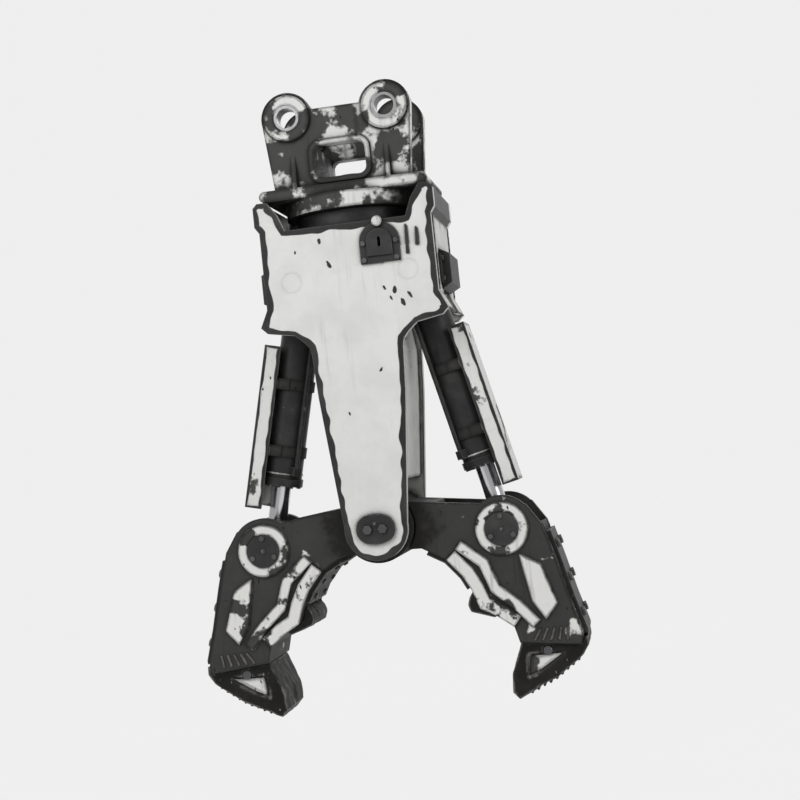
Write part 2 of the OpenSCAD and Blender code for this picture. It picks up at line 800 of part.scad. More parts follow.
// Bolted cover over the upper cylinder eye
module end_cover() {
    outer = [
        [housing_half, head_pin_h - cover_half_h],
        [housing_half + cover_proud, head_pin_h - cover_half_h + cover_slope],
        [housing_half + cover_proud, head_pin_h + cover_half_h - cover_slope],
        [housing_half, head_pin_h + cover_half_h]
    ];
    inner_h = cover_half_h - cover_wall;
    difference() {
        union() {
            slab(-cover_half_w, cover_half_w) polygon(outer);
            for (y = [-cover_half_w - tab_w, cover_half_w - over])
                translate([housing_half, y, head_pin_h - cover_half_h + cover_slope])
                    cube([tab_t, tab_w + over, 2 * (cover_half_h - cover_slope)]);
        }
        slab(-cover_half_w + cover_wall, cover_half_w - cover_wall) polygon([
            [housing_half - over, head_pin_h - inner_h], [housing_half, head_pin_h - inner_h],
            [housing_half + cover_proud - cover_wall, head_pin_h - inner_h + cover_slope],
            [housing_half + cover_proud - cover_wall, head_pin_h + inner_h - cover_slope],
            [housing_half, head_pin_h + inner_h], [housing_half - over, head_pin_h + inner_h]
        ]);
        cover_bolt_places() translate([0, 0, -over])
            cylinder(r = small_bolt_d / 2 + hole_gap, h = tab_t + 2 * over);
    }
}

module left_end_cover() placed() color("dimgray") on_left() end_cover();

module right_end_cover() placed() color("dimgray") end_cover();

// Domed cover on the front cheek, over the rotation motor
module hatch_cover() placed() color("dimgray") {
    mid = hatch_top - hatch_w / 2;
    lip = hatch_bolt_in;
    difference() {
        union() {
            slab(-cheek_out - hatch_t / 2, -cheek_out) {
                translate([hatch_x - hatch_w / 2, hatch_low]) square([hatch_w, mid - hatch_low]);
                translate([hatch_x, mid]) circle(hatch_w / 2);
            }
            slab(-cheek_out - hatch_t, -cheek_out) {
                translate([hatch_x - hatch_w / 2 + 2 * lip, hatch_low + 2 * lip])
                    square([hatch_w - 4 * lip, mid - hatch_low - 2 * lip]);
                translate([hatch_x, mid]) circle(hatch_w / 2 - 2 * lip);
            }
        }
        translate([0, -cheek_out - hatch_t / 2, 0]) hatch_bolt_places()
            translate([0, 0, -hatch_t]) cylinder(r = small_bolt_d / 2 + hole_gap, h = 2 * hatch_t);
        slab(-cheek_out - hatch_t - over, -cheek_out + over)
            translate([hatch_x, mid]) rounded(slit_w, slit_h, slit_w / 2 - slide_gap);
    }
}

// Small bolts of the hatch and the end covers, pin cap bolts and guard bar bolts
module frame_bolts() placed() color("dimgray") {
    translate([0, -cheek_out - hatch_t / 2, 0]) hatch_bolt_places()
        bolt(small_bolt_d, (hatch_t + bolt_reach) / 2);
    for (k = [0, 1]) mirror([k, 0, 0]) {
        translate([tab_t, 0, 0]) cover_bolt_places() bolt(small_bolt_d, tab_t + end_plate_t / 2);
        translate([0, 0, bar_seat]) bar_bolt_places() bolt(small_bolt_d, bar_seat + bar_bolt_reach - over);
    }
    cap_bolt_places(cheek_out + cap_t) bolt(mid_bolt_d, cap_t + bolt_reach);
}

// Pin that both jaws swing on
module main_pin() placed() color("silver") {
    difference() {
        y_bar(main_r, -cheek_out, cheek_out);
        cap_bolt_places(cheek_out) bolt_hole(mid_bolt_d);
    }
}

// Oval caps that keep the main pin in the cheeks
module pin_caps() placed() color("black") {
    for (k = [0, 1]) mirror([0, k, 0]) difference() {
        slab(-cheek_out - cap_t, -cheek_out) {
            rounded(2 * (cap_half_l - cap_half_h) + over, 2 * cap_half_h, over / 4);
            for (x = [-1, 1]) translate([x * (cap_half_l - cap_half_h), 0]) circle(cap_half_h, $fn = 96);
        }
        cap_bolt_places(cheek_out) translate([0, 0, -over])
            cylinder(r = mid_bolt_d / 2 + hole_gap, h = cap_t + 2 * over);
    }
}

// Washers between the hubs and the cheeks
module thrust_washers() placed() color("goldenrod") {
    for (y = [tang_half + slide_gap, ring_out + slide_gap], k = [0, 1]) mirror([0, k, 0]) difference() {
        y_bar(washer_r, y, y + washer_t);
        y_bar(main_r + run_gap, y - over, y + washer_t + over);
    }
}

// Pin of a barrel eye, held by the bosses of both cheeks
module head_pin() {
    y_bar(cyl_pin_r, -cheek_out, cheek_out, head_pin_x, head_pin_h);
}

module left_head_pin() placed() color("silver") on_left() head_pin();

module right_head_pin() placed() color("silver") head_pin();

function between(a, b, t) = a + (b - a) * t;
function back_edge() = let (p = reach(back_shares), s = strap_end_shares)
    [between(p[0], p[1], s[0]), p[1], p[2], p[3], between(p[3], p[4], s[1])];
function throat_edge() = let (p = reach(mouth_shares), s = liner_end_shares)
    [between(p[0], p[1], s[0]), p[1], p[2], between(p[2], p[3], s[1])];

// Side view of a jaw's plates, lug included
module jaw_outline() {
    polygon(concat(reach(mouth_shares), reach(back_shares), reach([lug_share]), reach(brow_shares)));
    translate([rod_pin_x, -rod_pin_drop]) circle(rod_lug_r, $fn = 96);
}

module neck_outline() {
    intersection() {
        jaw_outline();
        circle(neck_reach, $fn = 96);
    }
}

// Puts a piece on the outer side of one edge of a path, pointing away from it
module on_edge(path, i, y, lift = 0) {
    n = -left_of(path[i], path[i + 1]);
    m = (path[i] + path[i + 1]) / 2 + n * lift;
    translate([m[0], y, m[1]]) rotate([0, atan2(n[0], n[1]), 0]) children();
}

// Raised shapes on the side plates: pad round the pin, belly strip, mouth strip and panel
module jaw_raised() {
    difference() {
        union() {
            translate([rod_pin_x, -rod_pin_drop]) circle(lug_pad_r, $fn = 96);
            strip(reach(belly_shares), belly_w);
            strip([for (i = [1:len(mouth_shares) - 2]) mouth_shares[i] * jaw_len], band_w);
            polygon(reach(panel_shares));
        }
        translate([rod_pin_x, -rod_pin_drop]) circle(keeper_r + over, $fn = 96);
    }
}

// Welded frame of a jaw, without its hub
module jaw_body() {
    half = jaw_w / 2;
    pair_of_slabs(half - jaw_plate_t, half) jaw_outline();
    pair_of_slabs(half - over, half + panel_t) jaw_raised();
    slab(-half, half) intersection() {
        jaw_outline();
        union() {
            neck_outline();
            strip(reach(mouth_shares), throat_t);
            strip(reach(back_shares), back_t);
            strip(reach([mouth_shares[len(mouth_shares) - 1], back_shares[0]]), throat_t);
            strip(reach(rib_shares), rib_t);
        }
    }
    slab(-tenon_half_w, tenon_half_w) polygon(reach(tenon_shares));
    for (k = [0, 1]) mirror([0, k, 0])
        y_bar(cyl_pin_r + boss_wall, rod_eye_w / 2 + boss_play, half - over, rod_pin_x, -rod_pin_drop);
}

module jaw_holes() {
    y_bar(cyl_pin_r + fit_gap, -jaw_w, jaw_w, rod_pin_x, -rod_pin_drop);
    y_bar(tip_pin_d / 2 + fit_gap, -jaw_w, jaw_w, tip_pin_share[0] * jaw_len, tip_pin_share[1] * jaw_len);
    for (y = [-edge_bolt_y, edge_bolt_y]) {
        for (i = [1:3]) on_edge(back_edge(), i, y) bolt_hole(mid_bolt_d, back_t - over);
        for (i = [0:2]) on_edge(throat_edge(), i, y) bolt_hole(small_bolt_d);
    }
    keeper_bolt_places() bolt_hole(small_bolt_d);
}

module keeper_bolt_places() {
    for (k = [0, 1], i = [0:2]) mirror([0, k, 0]) translate([rod_pin_x, -jaw_w / 2, -rod_pin_drop])
        rotate([90, 0, 0]) rotate([0, 0, 90 + i * 120]) translate([keeper_bolt_r, 0, 0]) children();
}

// Jaw with one middle hub
module right_jaw_frame() placed() color("gainsboro") difference() {
    union() {
        difference() {
            jaw_body();
            pair_of_slabs(tang_half, jaw_w) circle(hub_r + hub_play, $fn = 96);
        }
        y_bar(hub_r, -tang_half, tang_half);
        slab(-tang_half, tang_half) neck_outline();
    }
    y_bar(bush_r + fit_gap, -jaw_w, jaw_w);
    jaw_holes();
}

// Jaw with two outer hubs
module left_jaw_frame() placed() color("gainsboro") on_left() difference() {
    union() {
        difference() {
            jaw_body();
            slab(-ring_in, ring_in) circle(hub_r + hub_play, $fn = 96);
        }
        for (k = [0, 1]) mirror([0, k, 0]) y_bar(hub_r, ring_in, ring_out);
    }
    y_bar(bush_r + fit_gap, -jaw_w, jaw_w);
    jaw_holes();
}

module hub_bush(y0, y1) {
    difference() {
        y_bar(bush_r, y0, y1);
        y_bar(main_r + run_gap, y0 - over, y1 + over);
    }
}

module right_hub_bush() placed() color("goldenrod") hub_bush(-tang_half, tang_half);

module left_hub_bushes() placed() color("goldenrod") {
    hub_bush(ring_in, ring_out);
    hub_bush(-ring_out, -ring_in);
}

// Bolted wear plate in the throat of the mouth
module throat_liner() {
    difference() {
        slab(-liner_half_w, liner_half_w) strip(throat_edge(), -liner_t);
        for (y = [-edge_bolt_y, edge_bolt_y], i = [0:2]) on_edge(throat_edge(), i, y)
            translate([0, 0, -over]) cylinder(r = small_bolt_d / 2 + hole_gap, h = liner_t + 2 * over);
    }
}

// Row of crushing teeth half way down the mouth
module middle_tooth() {
    w = (tooth_w + tooth_gap) / tooth_count;
    for (i = [0:tooth_count - 1]) slab(-tooth_w / 2 + i * w, -tooth_w / 2 + (i + 1) * w - tooth_gap)
        polygon(reach(tooth_shares));
}

// Replaceable tip with a socket over the jaw's tenon
module tip_tooth() {
    difference() {
        slab(-tip_w / 2, tip_w / 2) polygon(reach(tip_shares));
        slab(-tenon_half_w - hole_gap, tenon_half_w + hole_gap) polygon(reach(socket_shares));
        pair_of_slabs(tip_w / 2 - facet_deep, tip_w / 2 + over) polygon(reach(tip_facet_shares));
        y_bar(tip_pin_d / 2 + fit_gap, -jaw_w, jaw_w, tip_pin_share[0] * jaw_len, tip_pin_share[1] * jaw_len);
    }
}

// Bolted strap on the back of a jaw
module wear_strap() {
    difference() {
        slab(-strap_w / 2, strap_w / 2) strip(back_edge(), -strap_t);
        for (y = [-edge_bolt_y, edge_bolt_y], i = [1:3]) on_edge(back_edge(), i, y)
            translate([0, 0, -over]) cylinder(r = mid_bolt_d / 2 + hole_gap, h = strap_t + 2 * over);
    }
}

// Strap bolts, liner bolts, keeper bolts and the cross pin of the tip
module jaw_bolts() {
    for (y = [-edge_bolt_y, edge_bolt_y]) {
        for (i = [1:3]) on_edge(back_edge(), i, y, strap_t) bolt(mid_bolt_d, strap_t + back_t - 2 * over);
        for (i = [0:2]) on_edge(throat_edge(), i, y, liner_t) bolt(small_bolt_d, liner_t + bolt_reach - over);
    }
    keeper_bolt_places() translate([0, 0, keeper_t]) bolt(small_bolt_d, keeper_t + bolt_reach - over);
    y_bar(tip_pin_d / 2, -tip_w / 2, tip_w / 2, tip_pin_share[0] * jaw_len, tip_pin_share[1] * jaw_len);
}

module rod_pin() {
    y_bar(cyl_pin_r, -jaw_w / 2, jaw_w / 2, rod_pin_x, -rod_pin_drop);
}

// Round plates that keep the rod pin in the jaw
module pin_keepers() {
    for (k = [0, 1]) mirror([0, k, 0]) difference() {
        y_bar(keeper_r, jaw_w / 2, jaw_w / 2 + keeper_t, rod_pin_x, -rod_pin_drop);
        keeper_bolt_places() translate([0, 0, -over])
            cylinder(r = small_bolt_d / 2 + hole_gap, h = keeper_t + 2 * over);
    }
}

module right_throat_liner() placed() color("dimgray") throat_liner();
module left_throat_liner() placed() color("dimgray") on_left() throat_liner();
module right_middle_tooth() placed() color("dimgray") middle_tooth();
module left_middle_tooth() placed() color("dimgray") on_left() middle_tooth();
module right_tip_tooth() placed() color("dimgray") tip_tooth();
module left_tip_tooth() placed() color("dimgray") on_left() tip_tooth();
module right_wear_strap() placed() color("dimgray") wear_strap();
module left_wear_strap() placed() color("dimgray") on_left() wear_strap();
module right_jaw_bolts() placed() color("gray") jaw_bolts();
module left_jaw_bolts() placed() color("gray") on_left() jaw_bolts();
module right_rod_pin() placed() color("silver") rod_pin();
module left_rod_pin() placed() color("silver") on_left() rod_pin();
module right_pin_keepers() placed() color("dimgray") pin_keepers();
module left_pin_keepers() placed() color("dimgray") on_left() pin_keepers();

// Frame of the right cylinder: its axis hangs straight down from the upper pin
module along_cylinder() {
    translate([head_pin_x, 0, head_pin_h]) rotate([0, -cyl_tilt, 0]) children();
}

module down(from, to, r) {
    translate([0, 0, -to]) cylinder(r = r, h = to - from);
}

// Tube with its upper eye
module barrel() {
    along_cylinder() difference() {
        union() {
            y_bar(barrel_eye_r, -barrel_eye_w / 2, barrel_eye_w / 2);
            translate([-barrel_eye_r, -barrel_eye_w / 2, -barrel_cap])
                cube([2 * barrel_eye_r, barrel_eye_w, barrel_cap]);
            down(barrel_start, barrel_len, barrel_r);
        }
        down(barrel_cap, barrel_len + over, bore_r);
        y_bar(cyl_pin_r + eye_play, -barrel_eye_w, barrel_eye_w);
    }
}

// Head of the barrel that the rod runs through
module gland() {
    along_cylinder() difference() {
        union() {
            down(barrel_len - gland_depth, barrel_len + over, bore_r - fit_gap);
            down(barrel_len, barrel_len + gland_flange, gland_r);
        }
        down(barrel_len - gland_depth - over, barrel_len + gland_flange + over, rod_r + run_gap);
        around(gland_bolt_count, gland_bolt_at) down(barrel_len - over, barrel_len + gland_flange + over,
            gland_bolt_d / 2 + hole_gap);
    }
}

module gland_bolts() {
    along_cylinder() around(gland_bolt_count, gland_bolt_at) translate([0, 0, -barrel_len - gland_flange])
        mirror([0, 0, 1]) bolt(gland_bolt_d, gland_flange);
}

// Piston rod with its eye
module rod() {
    along_cylinder() difference() {
        union() {
            down(piston_at - 2 * nut_t, piston_at + piston_l + over, spigot_r);
            down(piston_at + piston_l, cyl_l, rod_r);
            down(cyl_l - rod_eye_r - rod_neck, cyl_l, rod_r + rod_neck / 4);
            translate([0, 0, -cyl_l]) y_bar(rod_eye_r, -rod_eye_w / 2, rod_eye_w / 2);
        }
        translate([0, 0, -cyl_l]) y_bar(cyl_pin_r + rod_bush_wall + fit_gap, -rod_eye_w, rod_eye_w);
    }
}

// Piston, and the nut that holds it on the rod
module piston() {
    along_cylinder() difference() {
        union() {
            down(piston_at, piston_at + piston_l, bore_r - run_gap);
            translate([0, 0, -piston_at]) cylinder(r = spigot_r + nut_t, h = nut_t, $fn = 6);
        }
        down(piston_at - 2 * nut_t, piston_at + piston_l + over, spigot_r + fit_gap);
    }
}

module rod_bush() {
    along_cylinder() translate([0, 0, -cyl_l]) difference() {
        y_bar(cyl_pin_r + rod_bush_wall, -rod_eye_w / 2, rod_eye_w / 2);
        y_bar(cyl_pin_r + run_gap, -rod_eye_w, rod_eye_w);
    }
}

// Channel on the outer side of the barrel, with its two clamps
module guard() {
    side_y = guard_half_w - guard_t;
    along_cylinder() {
        translate([guard_reach - guard_t, -guard_half_w, -guard_low_at])
            cube([guard_t, 2 * guard_half_w, guard_low_at - guard_top_at]);
        for (y = [-guard_half_w, side_y]) translate([guard_lip, y, -guard_low_at])
            cube([guard_reach - guard_lip, guard_t, guard_low_at - guard_top_at]);
        for (at = clamp_at) difference() {
            union() {
                down(at, at + clamp_w, barrel_r + clamp_t);
                translate([0, -side_y - over, -at - clamp_w])
                    cube([guard_reach - guard_t + over, 2 * (side_y + over), clamp_w]);
            }
            down(at - over, at + clamp_w + over, barrel_r + fit_gap);
        }
    }
}

// Oil pipe along the barrel, with a port block at each end
module oil_pipe() {
    along_cylinder() rotate([0, 0, pipe_angle]) {
        translate([-pipe_off, 0, 0]) down(port_at[0] + port_w / 2, port_at[1] - port_w / 2, pipe_r);
        for (at = port_at) difference() {
            translate([-pipe_off - pipe_r - over, -port_w / 2, -at - port_w / 2])
                cube([pipe_off + pipe_r - barrel_r / 2, port_w, port_w]);
            down(at - port_w, at + port_w, barrel_r + fit_gap);
        }
    }
}

module right_barrel() placed() color("whitesmoke") barrel();
module left_barrel() placed() color("whitesmoke") on_left() barrel();
module right_gland() placed() color("dimgray") gland();
module left_gland() placed() color("dimgray") on_left() gland();
module right_gland_bolts() placed() color("gray") gland_bolts();
module left_gland_bolts() placed() color("gray") on_left() gland_bolts();
module right_rod() placed() color("silver") rod();
module left_rod() placed() color("silver") on_left() rod();
module right_piston() placed() color("slategray") piston();
module left_piston() placed() color("slategray") on_left() piston();
module right_rod_bush() placed() color("goldenrod") rod_bush();
module left_rod_bush() placed() color("goldenrod") on_left() rod_bush();
module right_guard() placed() color("dimgray") guard();
module left_guard() placed() color("dimgray") on_left() guard();
module right_oil_pipe() placed() color("whitesmoke") oil_pipe();
module left_oil_pipe() placed() color("whitesmoke") on_left() oil_pipe();

head_base();
head_ears();
ear_bushes();
inner_slew_ring();
upper_slew_bolts();
manifold_core();
manifold_fittings();
front_cheek();
rear_cheek();
frame_core();
slew_guard_bars();
left_end_cover();
right_end_cover();
frame_bolts();
outer_slew_ring();
lower_slew_bolts();
slew_balls();
manifold_sleeve();
rotation_motor();
drive_pinion();
hatch_cover();
main_pin();
pin_caps();
thrust_washers();
left_head_pin();
right_head_pin();
right_jaw_frame();
right_hub_bush();
right_throat_liner();
right_middle_tooth();
right_tip_tooth();
right_wear_strap();
right_jaw_bolts();
right_rod_pin();
right_pin_keepers();
left_jaw_frame();
left_hub_bushes();
left_throat_liner();
left_middle_tooth();
left_tip_tooth();
left_wear_strap();
left_jaw_bolts();
left_rod_pin();
left_pin_keepers();
right_barrel();
right_gland();
right_gland_bolts();
right_rod();
right_piston();
right_rod_bush();
right_guard();
right_oil_pipe();
left_barrel();
left_gland();
left_gland_bolts();
left_rod();
left_piston();
left_rod_bush();
left_guard();
left_oil_pipe();
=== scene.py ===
"""Looks of a demolition grapple: its finishes, and the small parts on its plates and cylinders."""

import json
import logging
import math
import random
from collections.abc import Callable
from dataclasses import dataclass, field
from enum import Enum

import bmesh
import bpy
from mathutils import Matrix, Vector, noise


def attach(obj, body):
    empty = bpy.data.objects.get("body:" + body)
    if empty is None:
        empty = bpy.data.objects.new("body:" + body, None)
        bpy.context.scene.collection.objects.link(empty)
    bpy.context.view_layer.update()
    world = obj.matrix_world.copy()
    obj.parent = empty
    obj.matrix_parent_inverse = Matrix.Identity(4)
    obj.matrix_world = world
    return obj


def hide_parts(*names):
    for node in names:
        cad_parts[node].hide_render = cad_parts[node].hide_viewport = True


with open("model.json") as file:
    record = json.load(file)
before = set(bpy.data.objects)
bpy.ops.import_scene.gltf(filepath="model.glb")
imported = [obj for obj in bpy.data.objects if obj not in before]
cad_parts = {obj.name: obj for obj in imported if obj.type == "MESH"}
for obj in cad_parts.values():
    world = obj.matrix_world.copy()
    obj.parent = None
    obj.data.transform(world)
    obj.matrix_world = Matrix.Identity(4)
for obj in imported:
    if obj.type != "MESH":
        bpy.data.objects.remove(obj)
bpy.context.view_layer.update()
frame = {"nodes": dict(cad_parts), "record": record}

LOG = logging.getLogger("grapple")
MM = 0.001
# The jaw pivot in the part's own frame, and the length that jaw shares are taken of.
HUB = Vector((-0.225, 0.0, -1.880))
JAW_LENGTH = 1.0
# The upper cylinder pin from the pivot, along x and z, and the way out from the cylinder's axis.
AXIS_TOP = (0.265, 1.130)
AXIS_OUT = (0.9733, 0.2296)
# Finish.build: the spread of the gloss, what dirt, painted crevice shade and bare patches do, and how the
# bumps are set.
GLOSS_SPREAD = 0.12
DIRT_AND_SHADE_ROUGHNESS = 0.88
BARE_METAL = 0.8
BARE_DEPTH = 0.8
PAINT_SPECULAR = 0.35
CORNER_RADIUS = 0.003
BUMP_REACH = 4
BUMP_STRENGTH = 0.5
# add_worn_edge: length of a step, sway of the width and how fast it comes, foot and top of the band.
BAND_STEP = 0.012
BAND_SWAY = 0.55
BAND_WAVES = 17
BAND_FOOT = -0.0005
BAND_TOP = 0.0008

Pair = tuple[float, float]
Triple = tuple[float, float, float]
Path = list[Vector]
Places = list[tuple[Vector, Vector]]
Piece = bpy.types.Object
Book = bmesh.types.BMesh
Socket = bpy.types.NodeSocket
Given = bpy.types.bpy_prop_collection


class Side(Enum):
    """The two jaws and their cylinders, by the sign of their x."""

    RIGHT = 1
    LEFT = -1

    @property
    def word(self) -> str:
        """The side as the names of nodes and bodies have it."""
        return self.name.lower()


class Face(Enum):
    """The two faces of the tool, by the sign of their y."""

    FRONT = -1
    REAR = 1


def at(x: float, y: float, z: float) -> Vector:
    """A point given in millimetres from the jaw pivot.

    Args:
        x: Distance along the jaws.
        y: Distance along the pivot pin.
        z: Height over the pivot.

    Returns:
        The point in the part's own frame, in metres.
    """
    return HUB + Vector((x, y, z)) * MM


def jaw_point(share: Pair, y: float, side: Side) -> Vector:
    """A point on a jaw, given as shares of the jaw's length."""
    return HUB + Vector((share[0] * JAW_LENGTH * side.value, y * MM, share[1] * JAW_LENGTH))


class Sheet:
    """A node tree with short calls to add and join nodes."""

    def __init__(self, tree: bpy.types.NodeTree) -> None:
        """Starts on an existing tree."""
        self.tree = tree

    def add(self, kind: str, inputs: dict[str | int, object] | None = None,
            **settings: object) -> bpy.types.Node:
        """Adds a node.

        Args:
            kind: The node's type name.
            inputs: Values or output sockets by input name or number.
            **settings: Properties of the node.

        Returns:
            The new node.
        """
        node = self.tree.nodes.new(kind)
        for name, value in settings.items():
            setattr(node, name, value)
        for name, value in (inputs or {}).items():
            if isinstance(value, Socket):
                self.tree.links.new(value, node.inputs[name])
            else:
                node.inputs[name].default_value = value
        return node

    def math(self, operation: str, a: object, b: object = 0.0, clamp: bool = False) -> Socket:
        """Adds a Math node and returns its output."""
        return self.add("ShaderNodeMath", {0: a, 1: b}, operation=operation, use_clamp=clamp).outputs[0]

    def times(self, a: object, b: object) -> Socket:
        """Adds a product."""
        return self.math("MULTIPLY", a, b)

    def plus(self, a: object, b: object) -> Socket:
        """Adds a sum."""
        return self.math("ADD", a, b)

    def minus(self, a: object, b: object) -> Socket:
        """Adds a difference."""
        return self.math("SUBTRACT", a, b)

    def vector(self, operation: str, a: object, b: object, result: str = "Vector") -> Socket:
        """Adds a Vector Math node and returns its output."""
        return self.add("ShaderNodeVectorMath", {0: a, 1: b}, operation=operation).outputs[result]

    def place(self) -> Socket:
        """Adds the place on the piece, in its own frame."""
        return self.add("ShaderNodeTexCoord").outputs["Object"]

    def noise(self, vector: object, scale: float, detail: float = 3.0, rough: float = 0.55) -> Socket:
        """Adds a Noise texture and returns its value."""
        values = {"Vector": vector, "Scale": scale, "Detail": detail, "Roughness": rough}
        return self.add("ShaderNodeTexNoise", values).outputs["Fac"]

    def ramp(self, value: object, low: object, high: object) -> Socket:
        """Adds a smooth step from 0 at low to 1 at high."""
        values = {"Value": value, "From Min": low, "From Max": high}
        return self.add("ShaderNodeMapRange", values, interpolation_type="SMOOTHSTEP").outputs["Result"]

    def blend(self, share: object, first: object, second: object) -> Socket:
        """Adds a colour mix and returns its colour."""
        node = self.add("ShaderNodeMix", data_type="RGBA", clamp_factor=True)
        for name, value in (("Factor", share), ("A", first), ("B", second)):
            kind = "VALUE" if name == "Factor" else "RGBA"
            socket = next(s for s in node.inputs if s.name == name and s.type == kind)
            if isinstance(value, Socket):
                self.tree.links.new(value, socket)
            else:
                socket.default_value = value if name == "Factor" else (*value, 1.0)
        return next(s for s in node.outputs if s.type == "RGBA")


def fresh_sheet(block: bpy.types.Material | bpy.types.World) -> Sheet:
    """Empties the node tree of a material or a world and opens it."""
    block.use_nodes = True
    block.node_tree.nodes.clear()
    return Sheet(block.node_tree)


def stand(name: str, data: bpy.types.ID) -> Piece:
    """Makes an object and puts it into the scene."""
    made = bpy.data.objects.new(name, data)
    bpy.context.scene.collection.objects.link(made)
    return made


@dataclass(frozen=True)
class Effect:
    """A shader effect that several finishes share."""

    lay: Callable[[Sheet, Socket, Given], tuple[Socket, ...]]
    inputs: dict[str, float]
    outputs: tuple[str, ...] = ("Mask",)

    def build(self, name: str) -> bpy.types.NodeTree:
        """Makes the effect's group.

        Args:
            name: Name of the group.

        Returns:
            The group's tree, with its sockets and nodes.
        """
        tree = bpy.data.node_groups.new(name, "ShaderNodeTree")
        for label, value in self.inputs.items():
            socket = tree.interface.new_socket(name=label, in_out="INPUT", socket_type="NodeSocketFloat")
            socket.default_value = value
        for label in self.outputs:
            tree.interface.new_socket(name=label, in_out="OUTPUT", socket_type="NodeSocketFloat")
        sheet = Sheet(tree)
        entry, result = sheet.add("NodeGroupInput"), sheet.add("NodeGroupOutput")
        for label, value in zip(self.outputs, self.lay(sheet, sheet.place(), entry.outputs)):
            tree.links.new(value, result.inputs[label])
        return tree


def lay_edge_wear(sheet: Sheet, place: Socket, given: Given) -> tuple[Socket, ...]:
    """Mask of the corners, where paint is rubbed off."""
    soft = sheet.add("ShaderNodeBevel", {"Radius": given["Width"]}, samples=4).outputs[0]
    sharp = sheet.add("ShaderNodeNewGeometry").outputs["True Normal"]
    corner = sheet.times(sheet.minus(1.0, sheet.vector("DOT_PRODUCT", soft, sharp, "Value")), 5.0)
    rough = sheet.minus(sheet.noise(place, given["Scale"], 5.0, 0.65), 0.5)
    ragged = sheet.times(rough, sheet.times(given["Raggedness"], 4.0))
    mask = sheet.ramp(sheet.plus(corner, ragged), 0.16, 0.3)
    return (sheet.times(mask, sheet.ramp(corner, 0.02, 0.08)),)


def lay_crevice_shade_and_grime(sheet: Sheet, place: Socket, given: Given) -> tuple[Socket, ...]:
    """Mask of painted shade and grime in inner corners and gaps, from ambient occlusion."""
    open_sky = sheet.add("ShaderNodeAmbientOcclusion", {"Distance": given["Reach"]}, samples=6)
    broken = sheet.plus(0.55, sheet.noise(place, given["Scale"], 4.0, 0.6))
    dirt = sheet.times(sheet.times(sheet.minus(1.0, open_sky.outputs["AO"]), broken), given["Strength"])
    return (sheet.ramp(dirt, 0.12, 0.62),)


def lay_settled_dust(sheet: Sheet, place: Socket, given: Given) -> tuple[Socket, ...]:
    """Mask of concrete dust on faces that look up, with thin clouds of it elsewhere."""
    normal = sheet.add("ShaderNodeNewGeometry").outputs["Normal"]
    lying = sheet.ramp(sheet.add("ShaderNodeSeparateXYZ", {0: normal}).outputs["Z"], 0.15, 0.9)
    cloud = sheet.ramp(sheet.noise(place, given["Scale"], 6.0, 0.62), 0.42, 0.75)
    both = sheet.math("ADD", lying, sheet.times(cloud, 0.45), clamp=True)
    return (sheet.times(both, given["Amount"]),)


def lay_stone_scratches(sheet: Sheet, place: Socket, given: Given) -> tuple[Socket, ...]:
    """Mask of short dark nicks that come in loose clusters."""
    squash = sheet.add("ShaderNodeCombineXYZ", {"X": given["Stretch"], "Y": 1.0, "Z": 1.0}).outputs[0]
    tall = sheet.vector("MULTIPLY", place, squash)
    bent = sheet.add("ShaderNodeTexNoise", {"Vector": place, "Scale": 9.0}).outputs["Color"]
    moved = sheet.add("ShaderNodeVectorMath", {0: bent, "Scale": 0.12}, operation="SCALE").outputs[0]
    values = {"Vector": sheet.vector("ADD", tall, moved), "Scale": given["Scale"]}
    cells = sheet.add("ShaderNodeTexVoronoi", values)
    nick = sheet.minus(1.0, sheet.ramp(cells.outputs["Distance"], 0.10, 0.17))
    chosen = sheet.math("GREATER_THAN", sheet.noise(place, 2.6, 2.0), sheet.minus(1.0, given["Density"]))
    single = sheet.add("ShaderNodeSeparateColor", {0: cells.outputs["Color"]}).outputs[0]
    return (sheet.times(nick, sheet.times(chosen, sheet.math("GREATER_THAN", single, 0.62))),)


def lay_cast_grain(sheet: Sheet, place: Socket, given: Given) -> tuple[Socket, ...]:
    """Height of a rough cast or rolled skin, and its blotches."""
    fine = sheet.noise(place, given["Scale"], 6.0, 0.7)
    cells = {"Vector": place, "Scale": sheet.times(given["Scale"], 0.45)}
    pits = sheet.add("ShaderNodeTexVoronoi", cells).outputs["Distance"]
    hollow = sheet.times(sheet.ramp(pits, 0.0, 0.45), given["Pitting"])
    cloud = sheet.ramp(sheet.noise(place, 7.0, 6.0, 0.6), given["Low"], given["High"])
    return sheet.plus(fine, hollow), cloud


def lay_run_streaks(sheet: Sheet, place: Socket, given: Given) -> tuple[Socket, ...]:
    """Mask of thin runs of dirty water down the upright faces."""
    long_way = sheet.vector("MULTIPLY", place, (1.0, 1.0, 0.07))
    lines = sheet.ramp(sheet.noise(long_way, given["Scale"], 3.0, 0.6), 0.55, 0.74)
    patch = sheet.ramp(sheet.noise(place, 3.0, 2.0), 0.4, 0.65)
    return (sheet.times(sheet.times(lines, patch), given["Amount"]),)


def lay_pivot_grease(sheet: Sheet, place: Socket, given: Given) -> tuple[Socket, ...]:
    """Mask of the black grease that is pressed out round the jaw pivot."""
    flat = sheet.vector("MULTIPLY", sheet.vector("SUBTRACT", place, HUB), (1.0, 0.0, 1.0))
    reach = sheet.add("ShaderNodeVectorMath", {0: flat}, operation="LENGTH").outputs["Value"]
    ragged = sheet.times(sheet.minus(sheet.noise(place, 9.0, 5.0, 0.65), 0.5), 0.34)
    near = sheet.minus(1.0, sheet.ramp(sheet.plus(reach, ragged), given["Inner"], given["Outer"]))
    return (sheet.times(near, given["Amount"]),)


